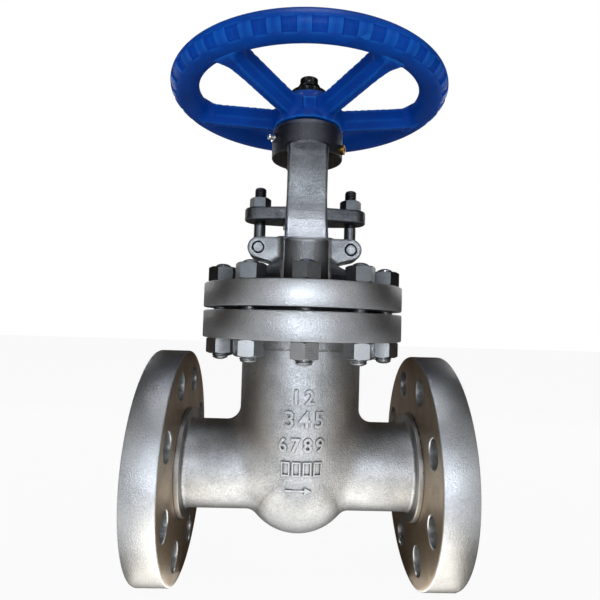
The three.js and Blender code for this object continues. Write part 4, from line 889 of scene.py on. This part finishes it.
# Ground bar steel, bright and close, and the thread's black grease with the crests rubbed paler.
turned_bar = steel("ground_stem_steel", "#9FA1A3", "#C8CACB", 0.27, 16, 0.9, 0.02)
stem_thread = steel("greased_stem_thread", "#2A2B2D", "#5D5F61", 0.3, 5, 0.9, 0.05, edge=0.4)
rod = screwed(STEM_RADIUS, THREAD_ROOT, THREAD_PITCH, THREAD_CREST, COLLAR_TOP - ROD_LAP, STEM_TOP,
              STEM_TIP, ROD_COLUMNS, plain=THREAD_START, end=STEM_END)
collar = ring_profile(COLLAR_HOLLOW, STEM_COLLAR, COLLAR_BOTTOM, COLLAR_TOP, RIM_EDGE)
shaft = ring_profile(SHAFT_HOLLOW, STEM_RADIUS, SHAFT_START, COLLAR_TOP, SHAFT_EDGE)
points, faces, part = together(
    rod, looped(collar, SHAFT_COLUMNS), looped(shaft, SHAFT_COLUMNS),
    block(FOOT_HALF_SIDE, STEM_FOOT, FOOT_TOP, FOOT_EDGE),
    block(FOOT_NECK, STEM_FOOT + NECK_SINK, SHAFT_START + NECK_RISE, FOOT_EDGE))
which = ((part == 0) & (points[faces].mean(1)[:, 2] > THREAD_START)).astype(int)
belongs(piece("threaded_stem", points, faces, [turned_bar, stem_thread], which), "gate", "turned_steel", "stem")


# ---------------------------------------------------------------- packing and gland
# Four graphite rings in the box are pressed down by a turned follower, under a forged two-bolt gland
# flange that spans the eye bolts. The forging is dark with its own scale.
FOLLOWER = ((12.5, 218.0), (19.7, 218.0), (19.7, 236.6), (22.5, 237.4), (22.5, 242.9), (21.9, 243.5),
            (12.5, 243.5))
GLAND_LOW, GLAND_HIGH, GLAND_MIDDLE, GLAND_END, GLAND_EDGE = 243.5, 257.0, 22.0, 15.5, 2.4
BOLT_X, BOLT_RADIUS, BOLT_ROOT, BOLT_PITCH, BOLT_GAP = 46.5, 6.0, 5.1, 1.75, 0.5
GLAND_BOX, GLAND_STEP = ((-63.3, -23.3, 242.1), (63.3, 23.3, 258.2)), 1.1

coated(graphite, *[f"packing_ring_{k}" for k in range(1, 5)])
turned_piece("gland_follower_bush", FOLLOWER, turned_bar, "gland", "turned_steel", "gland_follower")


def gland_plate(x, y, z):
    """A lens seen from above: one large circle and a small one at each end, joined by their tangents."""
    lean = (GLAND_MIDDLE - GLAND_END) / BOLT_X
    rise = math.sqrt(1 - lean * lean)
    along, across = np.abs(x), np.abs(y)
    share = rise * along - lean * across
    lens = np.where(share < 0, np.hypot(x, y) - GLAND_MIDDLE,
                    np.where(share > rise * BOLT_X, np.hypot(along - BOLT_X, y) - GLAND_END,
                             rise * across + lean * along - GLAND_MIDDLE))
    plate = shared(lens, np.abs(z - (GLAND_LOW + GLAND_HIGH) / 2) - (GLAND_HIGH - GLAND_LOW) / 2, GLAND_EDGE)
    holes = np.minimum(np.hypot(x, y) - STEM_BORE, np.hypot(along - BOLT_X, y) - BOLT_RADIUS - BOLT_GAP)
    return np.maximum(plate, -holes)


# Forged dark steel: charcoal scale with paler rubbed edges.
dark_forging = steel("dark_forged_steel", "#505356", "#7C7F83", 0.42, 8, 1.2, 0.3, edge=0.9)
points, faces, normals = skin(gland_plate, *GLAND_BOX, GLAND_STEP)
belongs(piece("forged_gland_flange", points, faces, [dark_forging], normals=normals), "gland", "dark_steel",
        "gland_flange")


# ---------------------------------------------------------------- eye bolts
# Each gland bolt ends in an eye that swings on a pin across the ear, so the gland can be swung free.
# The nut above the gland flange turns down its thread.
EYE_HALF, EYE_RADIUS, EYE_EDGE, EYE_GAP = 6.1, 10.5, 1.0, 0.2
PIN_RADIUS, PIN_HALF, PIN_EDGE, PIN_COLUMNS = 5.0, 14.4, 0.6, 48
BOLT_FOOT, BOLT_PLAIN, BOLT_TOP, BOLT_DOME, BOLT_COLUMNS = EAR_Z + 7, EAR_Z + 24, 279.5, 1.2, 24
GLAND_NUT_FLATS, GLAND_NUT_HEIGHT = 19.0, 11.0

# Pin ends are peened over and blasted with the ear.
pin_steel = steel("peened_pin_steel", "#85888A", "#B9BCBE", 0.44, 5, 1.2, 0.3)
eye_ring = ring_profile(PIN_RADIUS + EYE_GAP, EYE_RADIUS, -EYE_HALF, EYE_HALF, EYE_EDGE)
pin = [(0, -PIN_HALF), (PIN_RADIUS - PIN_EDGE, -PIN_HALF), (PIN_RADIUS, -PIN_HALF + PIN_EDGE),
       (PIN_RADIUS, PIN_HALF - PIN_EDGE), (PIN_RADIUS - PIN_EDGE, PIN_HALF), (0, PIN_HALF)]


def across_ear(profile, x):
    """A profile turned about a level line along Y through the ear's pin hole, carried to x."""
    points, faces = turned(profile, evenly(PIN_COLUMNS))
    return np.stack([points[:, 0] + x, points[:, 2], points[:, 1] + EAR_Z], 1), faces


for way, word in ((-1, "left"), (1, "right")):
    x = way * BOLT_X
    points, faces = screwed(BOLT_RADIUS, BOLT_ROOT, BOLT_PITCH, NARROW_CREST, BOLT_FOOT, BOLT_TOP, BOLT_DOME,
                            BOLT_COLUMNS, plain=BOLT_PLAIN)
    points, faces, _ = together((points + (x, 0, 0), faces), across_ear([*eye_ring, eye_ring[0]], x))
    belongs(piece(f"swing_bolt_{word}", points, faces, [bolting_painted_shade]), "valve", "bolting_steel",
            f"eye_bolt_{word}")
    belongs(piece(f"swing_pin_{word}", *across_ear(pin, x), [pin_steel]), "valve", "turned_steel",
            f"eye_bolt_pin_{word}")
    points, faces = hexagon_nut(GLAND_NUT_FLATS, BOLT_RADIUS + NUT_GAP, GLAND_NUT_HEIGHT)
    belongs(piece(f"eye_bolt_nut_{word}", points + (x, 0, GLAND_HIGH), faces, [bolting_painted_shade], crease=NUT_CREASE),
            f"gland_nut_{word}", "bolting_steel", f"gland_nut_{word}")


# ---------------------------------------------------------------- yoke sleeve and its bearing
# A bronze sleeve, screwed on the stem's thread, turns on a ball bearing in the boss. A dark cap
# closes the boss over it.
SLEEVE = ((12.5, 310.5), (16.3, 310.5), (16.8, 311.0), (16.8, 322.9), (26.0, 322.9), (26.0, 327.9),
          (19.0, 327.9), (19.0, 342.2), (15.9, 342.2), (15.9, 379.6), (15.4, 380.2), (12.5, 380.2))
DRIVE_FOOT, DRIVE_FLAT = 342.0, 14.5
CAP = ((19.4, 330.5), (28.0, 330.5), (28.0, 337.0), (34.0, 337.0), (34.0, 339.8), (32.8, 341.0), (20.2, 341.0),
       (19.4, 340.2))

# Cast bronze, dull and brown where grease holds dust.
sleeve_bronze = steel("greased_bronze", "#6E5228", "#A8823F", 0.38, 7, 0.9, 0.08)
points, faces = looped(SLEEVE, COLUMNS)
above = points[:, 2] > DRIVE_FOOT
points[above, 1] = np.clip(points[above, 1], -DRIVE_FLAT, DRIVE_FLAT)
belongs(piece("bronze_yoke_sleeve", points, faces, [sleeve_bronze]), "handwheel", "bronze", "yoke_sleeve")
turned_piece("yoke_cap_ring", CAP, dark_forging, "valve", "dark_steel", "yoke_cap")
coated(turned_bar, "bearing_housing_race", "bearing_ball_cage", "bearing_shaft_race")
coated(sleeve_bronze, "thrust_washer")


# ---------------------------------------------------------------- handwheel
# One iron casting in blue enamel: five tapered spokes rise from the hub to an oval rim, whose outer
# lower side carries thirty-six raised grip pads between shallow notches.
WHEEL_RADIUS, RIM_Z, RIM_WIDE, RIM_TALL = 126.0, 375.0, 14.0, 12.0
PADS, PAD_HALF, PAD_RAMP, PAD_DEPTH, PAD_TURN = 36, 2.35, 0.35, 1.1, -3.7
PAD_COLUMN, NOTCH_COLUMN, RIM_CREASE = 1.2, 3.6, 28
BAND_LOW, BAND_HIGH, BAND_RAMP, RIM_ROW = -57.0, -1.0, 4.0, 7.5
SPOKES, FIRST_SPOKE = 5, math.radians(-56)
SPOKE_FOOT, SPOKE_RISE, SPOKE_IN, SPOKE_OUT, SPOKE_BACK = 343.7, 18.0, 28.5, 119.0, -30.0
SPOKE_HALF, SPOKE_FLAT, SPOKE_CHAMFER, SPOKE_DEEP, SPOKE_EDGE = 9.0, 3.8, 8.0, 20.0, 1.6
SPOKE_MIDDLE, SPOKE_REACH, FLARE, FLARE_FROM, FLARE_LENGTH = 70.0, 50.0, 3.0, 92.0, 26.0
HUB_LOW, HUB_HIGH, HUB_WIDE, HUB_NARROW, HUB_BORE, HUB_FLAT = 342.2, 371.2, 35.0, 30.0, 16.3, 14.8
PLATE_HALF, PLATE_Z, PLATE_TALL, PLATE_Y, PLATE_DEEP, PLATE_EDGE = 6.5, 357.0, 6.0, -33.0, 1.2, 0.8
UNDER_RIM, HUB_FILLET, RIM_FILLET = 0.2, 7.0, 8.0
KEPT_FROM, KEPT_HALF, KEPT_REACH = 60.0, 26.0, 124.0
WHEEL_BOX, WHEEL_STEP = ((-125.3, -125.3, 339.9), (125.3, 125.3, 390)), 1.62


def wheel_rim():
    """The rim's oval section carried round the wheel. Columns stand at each pad's edges and rows at the
    band's edges. A point in the band between two pads is drawn in by the notch's depth."""
    pitch = 360 / PADS
    across = np.array([PAD_COLUMN, PAD_HALF, PAD_HALF + PAD_RAMP, NOTCH_COLUMN])
    across = np.concatenate([[-pitch / 2], -across[::-1], [0], across])
    angle = (PAD_TURN + np.arange(PADS)[:, None] * pitch + across).ravel()
    notch = np.tile(np.clip((np.abs(across) - PAD_HALF) / PAD_RAMP, 0, 1), PADS)
    edges = [BAND_LOW, BAND_LOW + BAND_RAMP, BAND_HIGH - BAND_RAMP, BAND_HIGH]
    around = np.unique(np.concatenate([np.arange(-180, 180, RIM_ROW), edges]))
    band = np.clip(np.minimum(around - BAND_LOW, BAND_HIGH - around) / BAND_RAMP, 0, 1)
    drawn = 1 - band[:, None] * notch * PAD_DEPTH / RIM_TALL
    swing = np.radians(around)[:, None]
    reach = WHEEL_RADIUS + RIM_WIDE * np.cos(swing) * drawn
    height = RIM_Z + RIM_TALL * np.sin(swing) * drawn
    reach, height = np.concatenate([reach, reach[:1]]), np.concatenate([height, height[:1]])
    return round_points(reach, np.radians(angle), height), grid_faces(len(reach), len(angle), True)


def wheel_spider(x, y, z):
    """Hub with a small raised plate in front, and the nearest spoke in its own axes: u out along it, v
    across and w up from its foot. The rim stands in as a ring a little under its own size, so that
    the spokes run into it with fillets."""
    r = np.hypot(x, y)
    step = 2 * math.pi / SPOKES
    turn = (np.arctan2(y, x) - FIRST_SPOKE + step / 2) % step - step / 2
    u, v = r * np.cos(turn), np.abs(r * np.sin(turn))
    w = z - SPOKE_FOOT - SPOKE_RISE * (u - SPOKE_IN) / (SPOKE_OUT - SPOKE_IN)
    flare = FLARE * np.clip((u - FLARE_FROM) / FLARE_LENGTH, 0, 1) ** 2
    spoke = outline(v - flare, w, [(SPOKE_BACK, 0), (SPOKE_FLAT, 0), (SPOKE_HALF, SPOKE_CHAMFER),
                                   (SPOKE_HALF, SPOKE_DEEP), (SPOKE_BACK, SPOKE_DEEP)])
    spoke = shared(spoke, np.abs(u - SPOKE_MIDDLE) - SPOKE_REACH, SPOKE_EDGE)
    hub = outline(r, z, [(0, HUB_LOW), (HUB_WIDE, HUB_LOW), (HUB_NARROW, HUB_HIGH), (0, HUB_HIGH)])
    plate = np.maximum(np.abs(x) - PLATE_HALF, np.abs(z - PLATE_Z) - PLATE_TALL)
    hub = joined(hub, shared(plate, np.abs(y - PLATE_Y) - PLATE_DEEP, PLATE_EDGE), PLATE_EDGE)
    rim = np.hypot((r - WHEEL_RADIUS) / (RIM_WIDE - UNDER_RIM), (z - RIM_Z) / (RIM_TALL - UNDER_RIM))
    solid = joined(joined(hub, spoke, HUB_FILLET), (rim - 1) * RIM_TALL, RIM_FILLET)
    # Out near the rim only the spoke and its fillets are kept: the rim is a piece of its own.
    solid = np.maximum(solid, np.where(r > KEPT_FROM, v - KEPT_HALF, -5.0))
    solid = np.maximum(solid, r - KEPT_REACH)
    bore = np.maximum(r - HUB_BORE, np.abs(y) - HUB_FLAT)
    return np.maximum(solid, -bore)


def enamel(name, colour, patch_colour, edge_colour):
    """A thick enamel on iron: one colour with slow changes, a faint orange peel, and paler over edges, both
    where it draws thin and as a painted highlight."""
    made, tree, surface = material(name)
    surface.inputs["IOR"].default_value = 1.5
    surface.inputs["Specular IOR Level"].default_value = 0.1
    place = add(tree, "TexCoord").outputs["Object"]
    peel = noise(tree, place, 3.5, 2.0)
    patches = ramp(tree, noise(tree, place, 40, 3.0), 0.35, 0.65)
    tone = blended(tree, patches, linear(colour), linear(patch_colour))
    convex = add(tree, "NewGeometry").outputs["Pointiness"]
    # Pale over convex edges: thin enamel, and a painted highlight.
    thin_edge_highlight = blended(tree, ramp(tree, convex, 0.505, 0.545, high=0.7), tone, linear(edge_colour))
    tree.links.new(thin_edge_highlight, surface.inputs["Base Color"])
    tree.links.new(ramp(tree, peel, 0.3, 0.7, 0.34, 0.46), surface.inputs["Roughness"])
    dented(tree, surface, peel, 0.6, 0.35)
    return made


# Blue enamel, thick and half shiny: deep blue, paler over the casting's edges, where it draws thin and where a
# painted highlight lies.
blue_enamel = enamel("blue_enamel_on_iron", "#003892", "#0042A4", "#1766C0")
points, faces = wheel_rim()
belongs(piece("handwheel_rim", points, faces, [blue_enamel], crease=RIM_CREASE), "handwheel", "blue_enamel",
        "handwheel")
points, faces, normals = skin(wheel_spider, *WHEEL_BOX, WHEEL_STEP)
belongs(piece("handwheel_spokes_and_hub", points, faces, [blue_enamel], normals=normals), "handwheel",
        "blue_enamel", "handwheel")


# ---------------------------------------------------------------- wheel nut
# A ring nut in black steel holds the wheel down on the sleeve; its edge is notched for a spanner.
RING_RADIUS, RING_BORE, RING_LOW, RING_HIGH = 20.5, 16.4, 371.2, 380.7
RING_EDGE, RING_CHAMFER, NOTCHES, NOTCH_DEPTH = 0.8, 1.6, 20, 1.1

# Blackened steel: near black, faintly shiny, its edges rubbed.
black_steel = steel("blackened_steel", "#101113", "#2B2D30", 0.34, 6, 1.0, 0.1, metallic=0.6, edge=0.5)
notch = np.tile([0, 0, 0, 1, 1, 1], NOTCHES) * NOTCH_DEPTH
rows = [(RING_BORE, RING_LOW, 0), (RING_RADIUS - RING_EDGE, RING_LOW, 1),
        (RING_RADIUS, RING_LOW + RING_EDGE, 1), (RING_RADIUS, RING_HIGH - RING_CHAMFER, 1),
        (RING_RADIUS - RING_CHAMFER, RING_HIGH, 0), (RING_BORE, RING_HIGH, 0)]
reach, height, cut_in = np.array([*rows, rows[0]]).T[:, :, None]
points = round_points(reach - cut_in * notch, evenly(len(notch)), height)
belongs(piece("wheel_ring_nut", points, grid_faces(len(reach), len(notch), True), [black_steel]), "handwheel",
        "black_steel", "handwheel_nut")


# ---------------------------------------------------------------- boss fittings
# A plated grease nipple on the left of the boss feeds the bearing, and a brass set screw on the
# right stops the cap from turning.
NIPPLE_TURN, NIPPLE_Z = math.radians(-157), 327.0
SCREW_TURN, SCREW_Z = math.radians(-20), 318.0
FITTING_COLUMNS = 32
NIPPLE = ((0, 28.6), (3, 28.6), (3, 36.8), (4.3, 36.8), (4.6, 37.1), (4.6, 38.8), (4.2, 39.2), (2.1, 39.4),
          (2.0, 40.6), (2.7, 41.4), (3.1, 42.3), (2.8, 43.1), (1.6, 43.8), (0.7, 43.8), (0, 43.4))
SCREW = ((0, 28.6), (4, 28.6), (4, 36.8), (4.6, 36.8), (5, 37.3), (5, 39.2), (4.4, 39.8), (2.6, 39.8),
         (2.4, 39.6), (2.4, 37.8), (0, 37.8))


def pointing_out(profile, turn, height):
    """A profile of (radius, distance) turned about a level line that leaves the Z axis at turn."""
    points, faces = turned(profile, evenly(FITTING_COLUMNS))
    return placed(points[:, [2, 0, 1]], turn, 0, 0, height), faces


# Bright plating and brass: both small and shiny.
plated = steel("bright_plated_steel", "#B9BCBE", "#E2E4E5", 0.18, 5, 0.8, 0.02)
brass = steel("turned_brass", "#A37D33", "#CFA653", 0.25, 5, 0.8, 0.03)
belongs(piece("ball_grease_nipple", *pointing_out(NIPPLE, NIPPLE_TURN, NIPPLE_Z), [plated]), "valve",
        "turned_steel", "grease_nipple")
belongs(piece("cap_set_screw", *pointing_out(SCREW, SCREW_TURN, SCREW_Z), [brass]), "valve", "brass",
        "boss_set_screw")
